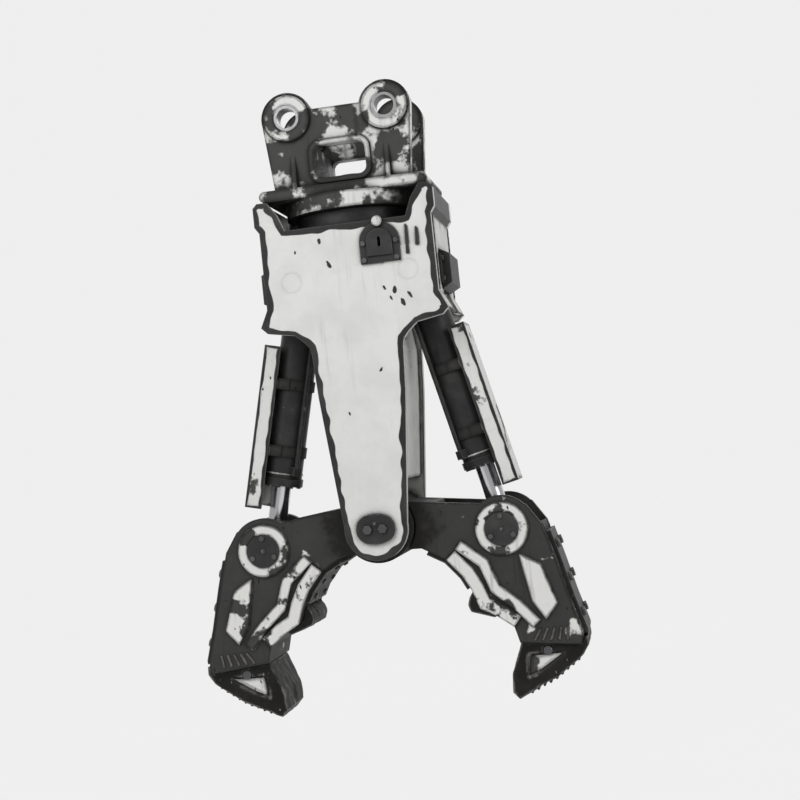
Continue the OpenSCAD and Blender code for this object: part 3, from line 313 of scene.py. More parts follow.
def lay_sunk_face_shade(sheet: Sheet, place: Socket, given: Given) -> tuple[Socket, ...]:
    """Mask of painted shade on the faces that lie under the raised panels, broken into patches."""
    depth = sheet.math("ABSOLUTE", sheet.add("ShaderNodeSeparateXYZ", {0: place}).outputs["Y"])
    under = sheet.math("LESS_THAN", depth, given["Plane"])
    # The painted shade, broken where the noise runs low.
    bare = sheet.ramp(sheet.noise(place, 8.0, 5.0, 0.6), given["Low"], given["High"])
    return (sheet.times(sheet.times(under, bare), given["Amount"]),)


def lay_pin_ends(sheet: Sheet, place: Socket, given: Given) -> tuple[Socket, ...]:
    """Mask of the discs round the upper cylinder pins, which were painted over when fitted."""
    parts = sheet.add("ShaderNodeSeparateXYZ", {0: sheet.vector("SUBTRACT", place, HUB)})
    across = sheet.minus(sheet.math("ABSOLUTE", parts.outputs["X"]), given["Across"])
    up = sheet.minus(parts.outputs["Z"], given["Up"])
    reach = sheet.math("SQRT", sheet.plus(sheet.times(across, across), sheet.times(up, up)))
    return (sheet.times(sheet.math("LESS_THAN", reach, given["Radius"]), given["Amount"]),)


def lay_barrel_inner_shade(sheet: Sheet, place: Socket, given: Given) -> tuple[Socket, ...]:
    """Mask of painted shade on what lies inward of a line just outside the barrel's axis, such as the clamps.
    """
    from_pin = sheet.vector("SUBTRACT", place, HUB)
    folded = sheet.add("ShaderNodeVectorMath", {0: from_pin}, operation="ABSOLUTE").outputs[0]
    parts = sheet.add("ShaderNodeSeparateXYZ", {0: folded})
    across = sheet.times(sheet.minus(parts.outputs["X"], AXIS_TOP[0]), AXIS_OUT[0])
    up = sheet.times(sheet.minus(parts.outputs["Z"], AXIS_TOP[1]), AXIS_OUT[1])
    near = sheet.math("LESS_THAN", sheet.plus(across, up), given["Reach"])
    return (sheet.times(near, given["Amount"]),)


EFFECTS = {
    "edge_wear": Effect(lay_edge_wear, {"Width": 0.008, "Raggedness": 0.4, "Scale": 14.0}),
    "crevice_shade_and_grime": Effect(lay_crevice_shade_and_grime, {"Reach": 0.05, "Strength": 1.0, "Scale": 18.0}),
    "settled_dust": Effect(lay_settled_dust, {"Amount": 0.5, "Scale": 5.0}),
    "stone_scratches": Effect(lay_stone_scratches, {"Scale": 16.0, "Density": 0.5, "Stretch": 2.2}),
    "cast_grain": Effect(lay_cast_grain, {"Scale": 60.0, "Pitting": 0.5, "Low": 0.35, "High": 0.68},
                         ("Height", "Blotch")),
    "run_streaks": Effect(lay_run_streaks, {"Scale": 24.0, "Amount": 0.4}),
    "pivot_grease": Effect(lay_pivot_grease, {"Amount": 1.0, "Inner": 0.17, "Outer": 0.30}),
    "sunk_face_shade": Effect(lay_sunk_face_shade, {"Amount": 1.0, "Plane": 0.2, "Low": 0.30, "High": 0.36}),
    "pin_ends": Effect(lay_pin_ends, {"Amount": 1.0, "Across": 0.265, "Up": 1.13, "Radius": 0.11}),
    "barrel_inner_shade": Effect(lay_barrel_inner_shade, {"Amount": 1.0, "Reach": 0.055}),
}


class Effects:
    """Builds the shared effects once and places them in materials."""

    def __init__(self) -> None:
        """Builds every shared group."""
        self.groups = {name: effect.build(name) for name, effect in EFFECTS.items()}

    def place(self, sheet: Sheet, name: str, **values: float) -> bpy.types.Node:
        """Places a shared effect in a material.

        Args:
            sheet: The material's sheet.
            name: The effect's name.
            **values: The effect's own inputs, in lower case with low lines.

        Returns:
            The group node.
        """
        node = sheet.add("ShaderNodeGroup", node_tree=self.groups[name])
        for key, value in values.items():
            node.inputs[key.replace("_", " ").title()].default_value = value
        return node

    def mask(self, sheet: Sheet, name: str, **values: float) -> Socket:
        """Places a shared effect and returns its mask."""
        return self.place(sheet, name, **values).outputs[0]


@dataclass(frozen=True)
class Wear:
    """How hard a surface has been used, and how far and how strongly painted shade falls in its crevices."""

    edge_width: float = 0.007
    raggedness: float = 0.4
    # Reach and strength of the painted crevice shade, which is broken up like grime.
    grime_reach: float = 0.05
    grime: float = 1.0
    dust: float = 0.35
    streaks: float = 0.35
    scratches: float = 0.45
    scratch_scale: float = 16.0


@dataclass(frozen=True)
class Finish:
    """A finish of one set of layers: a base, blotches and painted shade, dust, nicks, rubbed corners, and
    dirt with painted shade.
    """

    name: str
    base: Triple
    # Colour of the blotches, and of the painted shade on sunk faces and inner sides.
    shade: Triple
    bare: Triple = (0.024, 0.023, 0.022)
    # Near-black colour of dirt and of the painted crevice shade.
    dirt: Triple = (0.016, 0.015, 0.014)
    dust_colour: Triple = (0.46, 0.44, 0.41)
    wear: Wear = field(default_factory=Wear)
    metal: bool = False
    roughness: float = 0.48
    bare_roughness: float = 0.52
    grain_scale: float = 60.0
    pitting: float = 0.3
    bump: float = 0.0006
    blotch: float = 0.5
    blotch_low: float = 0.35
    blotch_high: float = 0.68
    pivot_grease: float = 0.0
    # Strength of the painted shade on the faces under the raised panels, and the depth below which a face
    # counts as sunk.
    sunk_shade_amount: float = 0.0
    low_plane: float = 0.2
    spare_pins: float = 0.0
    # Painted shade on the inner side of the barrels, towards the tongue.
    inner_shade_amount: float = 0.0

    def build(self, effects: Effects) -> bpy.types.Material:
        """Builds the material.

        Args:
            effects: The shared effects.

        Returns:
            The finished material.
        """
        material = bpy.data.materials.new(self.name)
        sheet = fresh_sheet(material)
        wear = self.wear
        grain = effects.place(sheet, "cast_grain", scale=self.grain_scale, pitting=self.pitting,
                              low=self.blotch_low, high=self.blotch_high)
        edge = effects.mask(sheet, "edge_wear", width=wear.edge_width, raggedness=wear.raggedness)
        # Painted shade in corners and gaps, from ambient occlusion, joined below with runs of dirt and
        # grease.
        grime = effects.mask(sheet, "crevice_shade_and_grime", reach=wear.grime_reach, strength=wear.grime)
        dust = effects.mask(sheet, "settled_dust", amount=wear.dust)
        streak = effects.mask(sheet, "run_streaks", amount=wear.streaks)
        nick = effects.mask(sheet, "stone_scratches", density=wear.scratches, scale=wear.scratch_scale)
        if self.spare_pins:
            kept = sheet.minus(1.0, effects.mask(sheet, "pin_ends", amount=self.spare_pins))
            edge, grime = sheet.times(edge, kept), sheet.times(grime, kept)
        blotch = sheet.times(grain.outputs["Blotch"], self.blotch)
        rubbed = sheet.math("MAXIMUM", edge, nick)
        shaded_or_dirty = sheet.math("MAXIMUM", grime, streak)
        if self.pivot_grease:
            grease = effects.mask(sheet, "pivot_grease", amount=self.pivot_grease)
            shaded_or_dirty = sheet.math("MAXIMUM", shaded_or_dirty, grease)
        # Painted shade on sunk faces and on the side towards the tongue, in the shade colour.
        shaded = (("sunk_face_shade", {"amount": self.sunk_shade_amount, "plane": self.low_plane}),
                  ("barrel_inner_shade", {"amount": self.inner_shade_amount}))
        for name, values in shaded:
            if values["amount"]:
                blotch = sheet.math("MAXIMUM", blotch, effects.mask(sheet, name, **values))
        colour = sheet.blend(blotch, self.base, self.shade)
        colour = sheet.blend(dust, colour, self.dust_colour)
        colour = sheet.blend(rubbed, colour, self.bare)
        # Painted crevice shade and real dirt go on in the same near-black colour.
        colour = sheet.blend(shaded_or_dirty, colour, self.dirt)
        uneven = sheet.times(grain.outputs["Height"], GLOSS_SPREAD)
        gloss = sheet.plus(uneven, self.roughness - GLOSS_SPREAD / 2)
        dull = sheet.math("MAXIMUM", shaded_or_dirty, dust)
        rough = self._between(sheet, rubbed, gloss, self.bare_roughness)
        rough = self._between(sheet, dull, rough, DIRT_AND_SHADE_ROUGHNESS)
        height = sheet.minus(grain.outputs["Height"], sheet.times(rubbed, BARE_DEPTH))
        soft = sheet.add("ShaderNodeBevel", {"Radius": CORNER_RADIUS}, samples=4).outputs[0]
        values = {"Height": height, "Distance": self.bump * BUMP_REACH, "Strength": BUMP_STRENGTH,
                  "Normal": soft}
        bump = sheet.add("ShaderNodeBump", values).outputs[0]
        values = {"Base Color": colour, "Roughness": rough, "Normal": bump}
        shader = sheet.add("ShaderNodeBsdfPrincipled", values)
        bright = sheet.math("SUBTRACT", 1.0, dull, clamp=True)
        if not self.metal:
            bright = sheet.times(sheet.times(rubbed, bright), BARE_METAL)
            shader.inputs["Specular IOR Level"].default_value = PAINT_SPECULAR
        sheet.tree.links.new(bright, shader.inputs["Metallic"])
        sheet.tree.links.new(shader.outputs[0], sheet.add("ShaderNodeOutputMaterial").inputs[0])
        return material

    @staticmethod
    def _between(sheet: Sheet, share: object, first: object, second: object) -> Socket:
        """Adds a mix of two numbers and returns it."""
        values = {"Value": share, "To Min": first, "To Max": second}
        return sheet.add("ShaderNodeMapRange", values).outputs["Result"]


HARD_USE = Wear(edge_width=0.015, raggedness=0.8, grime_reach=0.10, grime=1.4, dust=0.05, streaks=0.6,
                scratches=0.6)
PLATE_USE = Wear(edge_width=0.018, raggedness=0.35, dust=0.2, streaks=0.25, scratches=0.2)
HEAD_USE = Wear(edge_width=0.026, raggedness=0.5, grime_reach=0.12, grime=1.5, dust=0.06, streaks=0.7,
                scratches=0.5)
GUARD_USE = Wear(edge_width=0.026, raggedness=0.8, dust=0.14, streaks=0.5, scratches=0.6)
FINISHES = (
    Finish("cheek_white", (0.80, 0.80, 0.785), (0.70, 0.695, 0.675), wear=PLATE_USE, blotch=0.6,
           spare_pins=0.9),
    Finish("housing_white", (0.78, 0.78, 0.76), (0.50, 0.49, 0.47),
           wear=Wear(edge_width=0.024, raggedness=0.5, grime=1.5)),
    Finish("head_white", (0.77, 0.77, 0.75), (0.014, 0.0135, 0.013), wear=HEAD_USE, blotch=0.96,
           blotch_low=0.43, blotch_high=0.50, grain_scale=42.0, bump=0.0009),
    # The jaws' sunk faces take painted shade in their near-black shade colour.
    Finish("jaw_white", (0.79, 0.785, 0.765), (0.014, 0.0135, 0.013), wear=HARD_USE, grain_scale=34.0,
           pitting=0.8, bump=0.0012, blotch=0.96, blotch_low=0.55, blotch_high=0.60, roughness=0.55,
           pivot_grease=1.0, sunk_shade_amount=0.97, low_plane=0.2075),
    Finish("cylinder_white", (0.80, 0.80, 0.78), (0.68, 0.675, 0.65), wear=Wear(edge_width=0.006),
           roughness=0.36),
    # The guards' inner side, towards the tongue, takes painted shade.
    Finish("guard_white", (0.79, 0.79, 0.77), (0.018, 0.017, 0.016), wear=GUARD_USE, blotch=0.95,
           blotch_low=0.54, blotch_high=0.59, inner_shade_amount=1.0, grain_scale=45.0, bump=0.0009),
    Finish("barrel_black", (0.016, 0.016, 0.017), (0.028, 0.027, 0.026), bare=(0.16, 0.155, 0.15),
           wear=Wear(edge_width=0.005, dust=0.16, scratches=0.4), roughness=0.34, bump=0.0004),
    Finish("guard_black", (0.018, 0.018, 0.019), (0.032, 0.031, 0.029), bare=(0.16, 0.155, 0.15),
           wear=Wear(dust=0.22, scratches=0.5), grain_scale=45.0, bump=0.0008, roughness=0.5),
    Finish("tooth_steel", (0.036, 0.035, 0.034), (0.018, 0.017, 0.016), bare=(0.26, 0.25, 0.24), metal=True,
           wear=Wear(edge_width=0.012, raggedness=0.7, dust=0.08, scratches=0.6, scratch_scale=22.0),
           grain_scale=26.0, pitting=1.0, bump=0.0016, roughness=0.5),
    Finish("slew_steel", (0.050, 0.050, 0.052), (0.025, 0.024, 0.024), bare=(0.22, 0.22, 0.22), metal=True,
           wear=Wear(edge_width=0.003, dust=0.12, scratches=0.2), roughness=0.4, bump=0.0003),
    Finish("pin_steel", (0.36, 0.36, 0.37), (0.24, 0.24, 0.245), bare=(0.55, 0.55, 0.55), metal=True,
           wear=Wear(edge_width=0.004, dust=0.2, scratches=0.3), roughness=0.34, bump=0.0003),
    Finish("cap_black", (0.020, 0.020, 0.021), (0.036, 0.035, 0.034), bare=(0.14, 0.135, 0.13),
           wear=Wear(edge_width=0.004, dust=0.14, scratches=0.35), roughness=0.42, bump=0.0004),
    Finish("rod_chrome", (0.66, 0.66, 0.68), (0.58, 0.58, 0.60), bare=(0.50, 0.50, 0.50), metal=True,
           wear=Wear(edge_width=0.002, dust=0.05, streaks=0.2, scratches=0.1, grime_reach=0.02, grime=0.7),
           roughness=0.14, bump=0.00005, grain_scale=120.0, pitting=0.1),
    Finish("bolt_steel", (0.13, 0.13, 0.135), (0.07, 0.068, 0.066), bare=(0.36, 0.36, 0.36), metal=True,
           wear=Wear(edge_width=0.0015, grime_reach=0.012, dust=0.25), roughness=0.42, bump=0.0002,
           grain_scale=150.0),
    Finish("bush_bronze", (0.42, 0.28, 0.11), (0.26, 0.17, 0.07), bare=(0.62, 0.46, 0.22), metal=True,
           wear=Wear(edge_width=0.002, dust=0.1), roughness=0.35, bump=0.0002),
    Finish("motor_grey", (0.060, 0.062, 0.066), (0.038, 0.038, 0.040), bare=(0.20, 0.20, 0.20),
           wear=Wear(edge_width=0.003, dust=0.3), roughness=0.45, bump=0.0004, grain_scale=70.0),
    Finish("weld_metal", (0.34, 0.335, 0.32), (0.09, 0.085, 0.08), bare=(0.05, 0.05, 0.05),
           wear=Wear(edge_width=0.002, dust=0.3, scratches=0.2, grime_reach=0.03, grime=1.6), roughness=0.5,
           grain_scale=140.0, blotch=1.0),
    Finish("hard_facing", (0.075, 0.07, 0.066), (0.03, 0.028, 0.026), bare=(0.26, 0.25, 0.24), metal=True,
           wear=Wear(edge_width=0.003, dust=0.3, scratches=0.2, grime_reach=0.03), roughness=0.46,
           grain_scale=90.0),
)
SLOT_FINISH = {
    "housing_paint": "housing_white", "jaw_paint": "jaw_white", "cylinder_paint": "cylinder_white",
    "guard_steel": "guard_black", "tooth_steel": "tooth_steel", "slew_steel": "slew_steel",
    "pin_steel": "pin_steel", "cap_steel": "cap_black", "rod_chrome": "rod_chrome",
    "bolt_steel": "bolt_steel", "bush_bronze": "bush_bronze", "motor_paint": "motor_grey",
}
BLACK_PIECES = ("barrel", "gland", "oil_pipe")
NODE_FINISH = {f"{side.word}_{kind}": "barrel_black" for side in Side for kind in BLACK_PIECES} | {
    "right_guard": "guard_white", "left_guard": "guard_white", "front_cheek": "cheek_white",
    "rear_cheek": "cheek_white", "left_head_pin": "cheek_white", "right_head_pin": "cheek_white",
    "head_base": "head_white", "head_ears": "head_white",
}


class FinishShop:
    """Holds every finish and puts it on pieces."""

    def __init__(self) -> None:
        """Builds the shared effects and the finishes."""
        effects = Effects()
        self.materials = {finish.name: finish.build(effects) for finish in FINISHES}

    def coat(self, piece: Piece, name: str) -> None:
        """Puts one finish on a whole piece."""
        piece.data.materials.clear()
        piece.data.materials.append(self.materials[name])

    def coat_nodes(self) -> None:
        """Puts on every carried-over solid the finish of its slot."""
        for row in frame["record"]["subparts"]:
            name = NODE_FINISH.get(row["node"], SLOT_FINISH[row["material_slot"]])
            node = frame["nodes"][row["node"]]
            for slot in node.material_slots:
                slot.material = self.materials[name]
            if not node.material_slots:
                self.coat(node, name)


@dataclass(frozen=True)
class Studio:
    """Floor, backdrop, lamps and camera. The eye is an azimuth in degrees, a distance and a height."""

    paper: Triple = (0.871, 0.871, 0.871)
    floor_height: float = -3.05
    size: float = 14.0
    back: float = 6.0
    eye: Triple = (10.0, 7.0, -1.52)
    aim: Triple = (-0.105, 0.0, -1.315)
    roll_deg: float = -6.0
    lens: float = 68.0
    sky: float = 0.5
    paper_glow: float = 0.97
    curve_radius: float = 2.5
    curve_steps: int = 16

    def build(self) -> None:
        """Makes the floor, the light and the camera."""
        self._backdrop()
        self._world()
        self._lamp("key_lamp", (-3.2, -5.2, 2.6), 3.4, 165.0)
        self._lamp("fill_lamp", (5.2, -3.8, 0.4), 3.6, 70.0)
        self._lamp("rim_lamp", (1.0, 5.0, 2.2), 3.0, 80.0)
        self._camera()
        bpy.context.scene.view_settings.view_transform = "Standard"
        LOG.info("studio is ready")

    def _paper_material(self) -> bpy.types.Material:
        """Pale paper that keeps a soft part of the shadows."""
        material = bpy.data.materials.new("backdrop_paper")
        sheet = fresh_sheet(material)
        fibre = sheet.ramp(sheet.noise(sheet.place(), 3.0), -1.5, 2.5)
        dim, light = (tuple(c * part for c in self.paper) for part in (0.99, 1.01))
        tone = sheet.blend(fibre, dim, light)
        lit = sheet.add("ShaderNodeBsdfDiffuse", {"Color": tone})
        glow = sheet.add("ShaderNodeEmission", {"Color": tone, "Strength": 1.0})
        path = sheet.add("ShaderNodeLightPath")
        seen = sheet.math("MAXIMUM", path.outputs["Is Camera Ray"], path.outputs["Is Glossy Ray"])
        seen = sheet.math("MAXIMUM", seen, path.outputs["Is Transmission Ray"])
        share = sheet.times(seen, self.paper_glow)
        mix = sheet.add("ShaderNodeMixShader", {0: share, 1: lit.outputs[0], 2: glow.outputs[0]})
        sheet.tree.links.new(mix.outputs[0], sheet.add("ShaderNodeOutputMaterial").inputs[0])
        return material

    def _backdrop(self) -> None:
        """Floor that curves up into a wall behind the tool."""
        mesh = bpy.data.meshes.new("backdrop")
        book = bmesh.new()
        rows = [(-self.size, self.floor_height)]
        for i in range(self.curve_steps + 1):
            turn = math.pi / 2 * i / self.curve_steps
            rise = self.curve_radius * (1 - math.cos(turn))
            rows.append((self.back + self.curve_radius * math.sin(turn), self.floor_height + rise))
        rows.append((self.back + self.curve_radius, self.floor_height + self.size))
        lines = [[book.verts.new((x, y, z)) for x in (-self.size, self.size)] for y, z in rows]
        for low, high in zip(lines, lines[1:]):
            book.faces.new((low[0], low[1], high[1], high[0]))
        book.to_mesh(mesh)
        book.free()
        for face in mesh.polygons:
            face.use_smooth = True
        piece = stand("backdrop", mesh)
        mesh.materials.append(self._paper_material())

    def _world(self) -> None:
        """Even light from all round, and paper where the camera looks past the backdrop."""
        world = bpy.data.worlds.new("studio")
        bpy.context.scene.world = world
        sheet = fresh_sheet(world)
        soft = sheet.add("ShaderNodeBackground", {"Color": (1.0, 1.0, 1.0, 1.0), "Strength": self.sky})
        paper = sheet.add("ShaderNodeBackground", {"Color": (*self.paper, 1.0), "Strength": 1.0})
        path = sheet.add("ShaderNodeLightPath")
        seen = sheet.math("MAXIMUM", path.outputs["Is Camera Ray"], path.outputs["Is Transmission Ray"])
        mix = sheet.add("ShaderNodeMixShader", {0: seen, 1: soft.outputs[0], 2: paper.outputs[0]})
        sheet.tree.links.new(mix.outputs[0], sheet.add("ShaderNodeOutputWorld").inputs[0])

    def _lamp(self, name: str, place: Triple, size: float, power: float) -> None:
        """Adds a soft square lamp that faces the tool."""
        data = bpy.data.lights.new(name, "AREA")
        data.size, data.energy = size, power
        lamp = stand(name, data)
        lamp.location = place
        lamp.rotation_euler = (Vector(self.aim) - Vector(place)).to_track_quat("-Z", "Y").to_euler()

    def _camera(self) -> None:
        """Camera of the drawing's view, a little from the right and from just over the pivot."""
        data = bpy.data.cameras.new("camera")
        data.lens = self.lens
        camera = stand("camera", data)
        azimuth, distance, height = self.eye
        turn = math.radians(azimuth)
        aim = Vector(self.aim)
        place = Vector((HUB.x + distance * math.sin(turn), -distance * math.cos(turn), height))
        look = (aim - place).to_track_quat("-Z", "Y")
        roll = Matrix.Rotation(math.radians(self.roll_deg), 4, "Z")
        camera.matrix_world = Matrix.Translation(place) @ look.to_matrix().to_4x4() @ roll
        bpy.context.scene.camera = camera


def offset_path(path: list[Pair], step: float) -> list[Pair]:
    """Moves an open path sideways to its left by an even step.

    Args:
        path: Points as x and z.
        step: The distance, in the unit of the points.

    Returns:
        The moved points.
    """
    points = [Vector(p) for p in path]
    sides = []
    for a, b in zip(points, points[1:]):
        along = (b - a).normalized()
        sides.append(Vector((-along.y, along.x)))
    moved = [points[0] + sides[0] * step]
    for i in range(1, len(points) - 1):
        middle = (sides[i - 1] + sides[i]).normalized()
        moved.append(points[i] + middle * step / middle.dot(sides[i]))
    moved.append(points[-1] + sides[-1] * step)
    return [tuple(p) for p in moved]


def ring(centre: Vector, axis: Vector, radius: float, steps: int = 56) -> Path:
    """Points of a closed circle round an axis."""
    out = axis.orthogonal().normalized()
    side = axis.normalized().cross(out)
    turns = [math.tau * i / steps for i in range(steps + 1)]
    return [centre + out * radius * math.cos(t) + side * radius * math.sin(t) for t in turns]


class GeometryRule:
    """A geometry node tree that makes what repeats, with named inputs for its sizes."""

    name = "rule"
    sizes: tuple[tuple[str, str, object], ...] = ()

    def __init__(self) -> None:
        """Builds the tree with its sockets."""
        tree = bpy.data.node_groups.new(self.name, "GeometryNodeTree")
        tree.is_modifier = True
        tree.interface.new_socket(name="Geometry", in_out="INPUT", socket_type="NodeSocketGeometry")
        for label, kind, value in self.sizes:
            socket = tree.interface.new_socket(name=label, in_out="INPUT", socket_type=kind)
            socket.default_value = value
        tree.interface.new_socket(name="Finish", in_out="INPUT", socket_type="NodeSocketMaterial")
        tree.interface.new_socket(name="Geometry", in_out="OUTPUT", socket_type="NodeSocketGeometry")
        self.sheet = Sheet(tree)
        self.entry = self.sheet.add("NodeGroupInput")
        made = self.lay(self.entry.outputs)
        real = self.sheet.add("GeometryNodeRealizeInstances", {"Geometry": made}).outputs[0]
        values = {"Geometry": real, "Material": self.entry.outputs["Finish"]}
        coated = self.sheet.add("GeometryNodeSetMaterial", values).outputs[0]
        tree.links.new(coated, self.sheet.add("NodeGroupOutput").inputs[0])

    def lay(self, given: Given) -> Socket:
        """Makes the geometry from the carrier mesh. Each rule has its own."""
        raise NotImplementedError

    def make(self, name: str, carrier: bpy.types.Mesh, finish: bpy.types.Material, **sizes: float) -> Piece:
        """Runs the rule on a carrier mesh.

        Args:
            name: Name of the new piece.
            carrier: Mesh whose edges or points the rule follows.
            finish: Material of the result.
            **sizes: The rule's inputs, in lower case with low lines.

        Returns:
            The piece as a plain mesh object.
        """
        holder = stand(name + "_carrier", carrier)
        rule = holder.modifiers.new(self.name, "NODES")
        rule.node_group = self.sheet.tree
        keys = {s.name: s.identifier for s in rule.node_group.interface.items_tree if s.in_out == "INPUT"}
        rule[keys["Finish"]] = finish
        for key, value in sizes.items():
            rule[keys[key.replace("_", " ").title()]] = value
        graph = bpy.context.evaluated_depsgraph_get()
        mesh = bpy.data.meshes.new_from_object(holder.evaluated_get(graph))
        holder.modifiers.remove(rule)
        bpy.data.objects.remove(holder)
        mesh.name = name
        return stand(name, mesh)


class WeldRule(GeometryRule):
    """A rippled weld bead along every line of the carrier."""

    name = "weld_bead"
    sizes = (("Radius", "NodeSocketFloat", 0.006), ("Pitch", "NodeSocketFloat", 0.005),
             ("Ripple", "NodeSocketFloat", 0.16), ("Seed", "NodeSocketInt", 3))

    def lay(self, given: Given) -> Socket:
        """Sweeps a small ring along the lines, with a radius that swells at each ripple."""
        sheet = self.sheet
        line = sheet.add("GeometryNodeMeshToCurve", {"Mesh": given["Geometry"]}).outputs[0]
        values = {"Curve": line, "Length": given["Pitch"]}
        even = sheet.add("GeometryNodeResampleCurve", values, mode="LENGTH")
        number = sheet.add("GeometryNodeInputIndex").outputs[0]
        wave = sheet.minus(sheet.math("MODULO", number, 2.0), 0.5)
        values = {2: -0.12, 3: 0.12, "Seed": given["Seed"]}
        chance = sheet.add("FunctionNodeRandomValue", values).outputs[1]
        swell = sheet.plus(sheet.times(wave, given["Ripple"]), chance)
        values = {"Resolution": 7, "Radius": given["Radius"]}
        circle = sheet.add("GeometryNodeCurvePrimitiveCircle", values)
        values = {"Curve": even.outputs[0], "Profile Curve": circle.outputs[0], "Fill Caps": True,
                  "Scale": sheet.plus(swell, 1.0)}
        return sheet.add("GeometryNodeCurveToMesh", values).outputs[0]


class StudRule(GeometryRule):
    """A head on a washer at every point of the carrier, facing along its normal."""

    name = "stud_head"
    sizes = (("Head Radius", "NodeSocketFloat", 0.011), ("Head Height", "NodeSocketFloat", 0.009),
             ("Sides", "NodeSocketInt", 6), ("Washer Radius", "NodeSocketFloat", 0.016),
             ("Washer Height", "NodeSocketFloat", 0.003), ("Dome", "NodeSocketFloat", 0.004),
             ("Seed", "NodeSocketInt", 5))

    def lay(self, given: Given) -> Socket:
        """Stacks a washer, a head and a dome, and turns each stack by chance."""
        sheet = self.sheet
        washer = self._disc(24, given["Washer Radius"], given["Washer Height"], 0.0)
        head = self._disc(given["Sides"], given["Head Radius"], given["Head Height"],
                          given["Washer Height"])
        values = {"Segments": 10, "Rings": 6, "Radius": given["Dome"]}
        dome = sheet.add("GeometryNodeMeshUVSphere", values)
        top = sheet.plus(given["Washer Height"], given["Head Height"])
        lifted = self._lift(dome.outputs[0], top)
        join = sheet.add("GeometryNodeJoinGeometry")
        for part in (washer, head, lifted):
            sheet.tree.links.new(part, join.inputs[0])
        stored = sheet.add("GeometryNodeInputNamedAttribute", {"Name": "facing"}, data_type="FLOAT_VECTOR")
        values = {"Vector": stored.outputs[0]}
        facing = sheet.add("FunctionNodeAlignRotationToVector", values, axis="Z").outputs[0]
        values = {2: 0.0, 3: math.tau, "Seed": given["Seed"]}
        chance = sheet.add("FunctionNodeRandomValue", values).outputs[1]
        spin = sheet.add("ShaderNodeCombineXYZ", {"Z": chance}).outputs[0]
        turn = sheet.add("FunctionNodeRotateRotation", {0: facing, 1: spin}, rotation_space="LOCAL")
        values = {"Points": given["Geometry"], "Instance": join.outputs[0], "Rotation": turn.outputs[0]}
        return sheet.add("GeometryNodeInstanceOnPoints", values).outputs[0]

    def _disc(self, sides: object, radius: object, height: object, low: object) -> Socket:
        """A short prism that stands on a height."""
        values = {"Vertices": sides, "Radius": radius, "Depth": height}
        made = self.sheet.add("GeometryNodeMeshCylinder", values).outputs[0]
        half = self.sheet.times(height, 0.5)
        return self._lift(made, self.sheet.plus(half, low))

    def _lift(self, part: Socket, height: object) -> Socket:
        """Raises a part along its own axis."""
        rise = self.sheet.add("ShaderNodeCombineXYZ", {"Z": height}).outputs[0]
        return self.sheet.add("GeometryNodeTransform", {"Geometry": part, "Translation": rise}).outputs[0]


class Workshop:
    """Makes pieces for a body and keeps their names and finishes together."""

    def __init__(self, shop: FinishShop) -> None:
        """Builds the rules once."""
        self.shop = shop
        self.weld_rule = WeldRule()
        self.stud_rule = StudRule()

    def settle(self, piece: Piece, body: str) -> Piece:
        """Lets a finished piece ride on its body and reports it."""
        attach(piece, body)
        LOG.info("%s rides on %s, %d faces", piece.name, body, len(piece.data.polygons))
        return piece

    def welds(self, name: str, body: str, paths: list[Path], radius: float, finish: str = "weld_metal",
              pitch: float = 0.005) -> Piece:
        """Lays weld beads along open or closed paths.

        Args:
            name: Name of the piece.
            body: The body it rides on.
            paths: The lines to follow.
            radius: Radius of the bead, in metres.
            finish: Name of the finish.
            pitch: Length of a half ripple.

        Returns:
            The piece.
        """
        carrier = bpy.data.meshes.new(name)
        points, edges = [], []
        for path in paths:
            start = len(points)
            closed = (path[0] - path[-1]).length < 1e-6
            line = path[:-1] if closed else path
            points.extend(line)
            edges.extend((start + i, start + i + 1) for i in range(len(line) - 1))
            if closed:
                edges.append((start + len(line) - 1, start))
        carrier.from_pydata(points, edges, [])
        piece = self.weld_rule.make(name, carrier, self.shop.materials[finish], radius=radius, pitch=pitch,
                                    seed=len(points))
        for face in piece.data.polygons:
            face.use_smooth = True
        return self.settle(piece, body)

    def studs(self, name: str, body: str, places: Places, finish: str, slot: str,
              **sizes: float) -> Piece:
        """Sets a head at each place, facing along the given direction."""
        carrier = bpy.data.meshes.new(name)
        carrier.from_pydata([place for place, _ in places], [], [])
        facing = carrier.attributes.new("facing", "FLOAT_VECTOR", "POINT")
        for i, (_, direction) in enumerate(places):
            facing.data[i].vector = direction
        piece = self.stud_rule.make(name, carrier, self.shop.materials[finish], **sizes)
        return self.settle(piece, body)

    def nipples(self, name: str, body: str, places: Places, radius: float, height: float,
                washer: float, dome: float) -> None:
        """Sets a grease nipple of the given sizes at each place."""
        self.studs(name, body, places, "bolt_steel", "bolt_steel", head_radius=radius, head_height=height,
                   washer_radius=washer, washer_height=0.002, dome=dome)

    def solid(self, name: str, body: str, book: Book, finish: str,
              bevel: float = 0.0) -> Piece:
        """Turns a mesh book into a piece with rounded edges."""
        bmesh.ops.recalc_face_normals(book, faces=book.faces)
        mesh = bpy.data.meshes.new(name)
        book.to_mesh(mesh)
        book.free()
        piece = stand(name, mesh)
        if bevel:
            rounder = piece.modifiers.new("rounded_edges", "BEVEL")
            rounder.width, rounder.segments, rounder.limit_method = bevel, 2, "ANGLE"
        self.shop.coat(piece, finish)
        return self.settle(piece, body)


def add_prism(book: Book, outline: Path, depth: Vector) -> None:
    """Adds a closed prism from a flat outline and its depth."""
    low = [book.verts.new(p) for p in outline]
    high = [book.verts.new(p + depth) for p in outline]
    book.faces.new(low)
    book.faces.new(list(reversed(high)))
    for i in range(len(low)):
        j = (i + 1) % len(low)
        book.faces.new((low[i], high[i], high[j], low[j]))


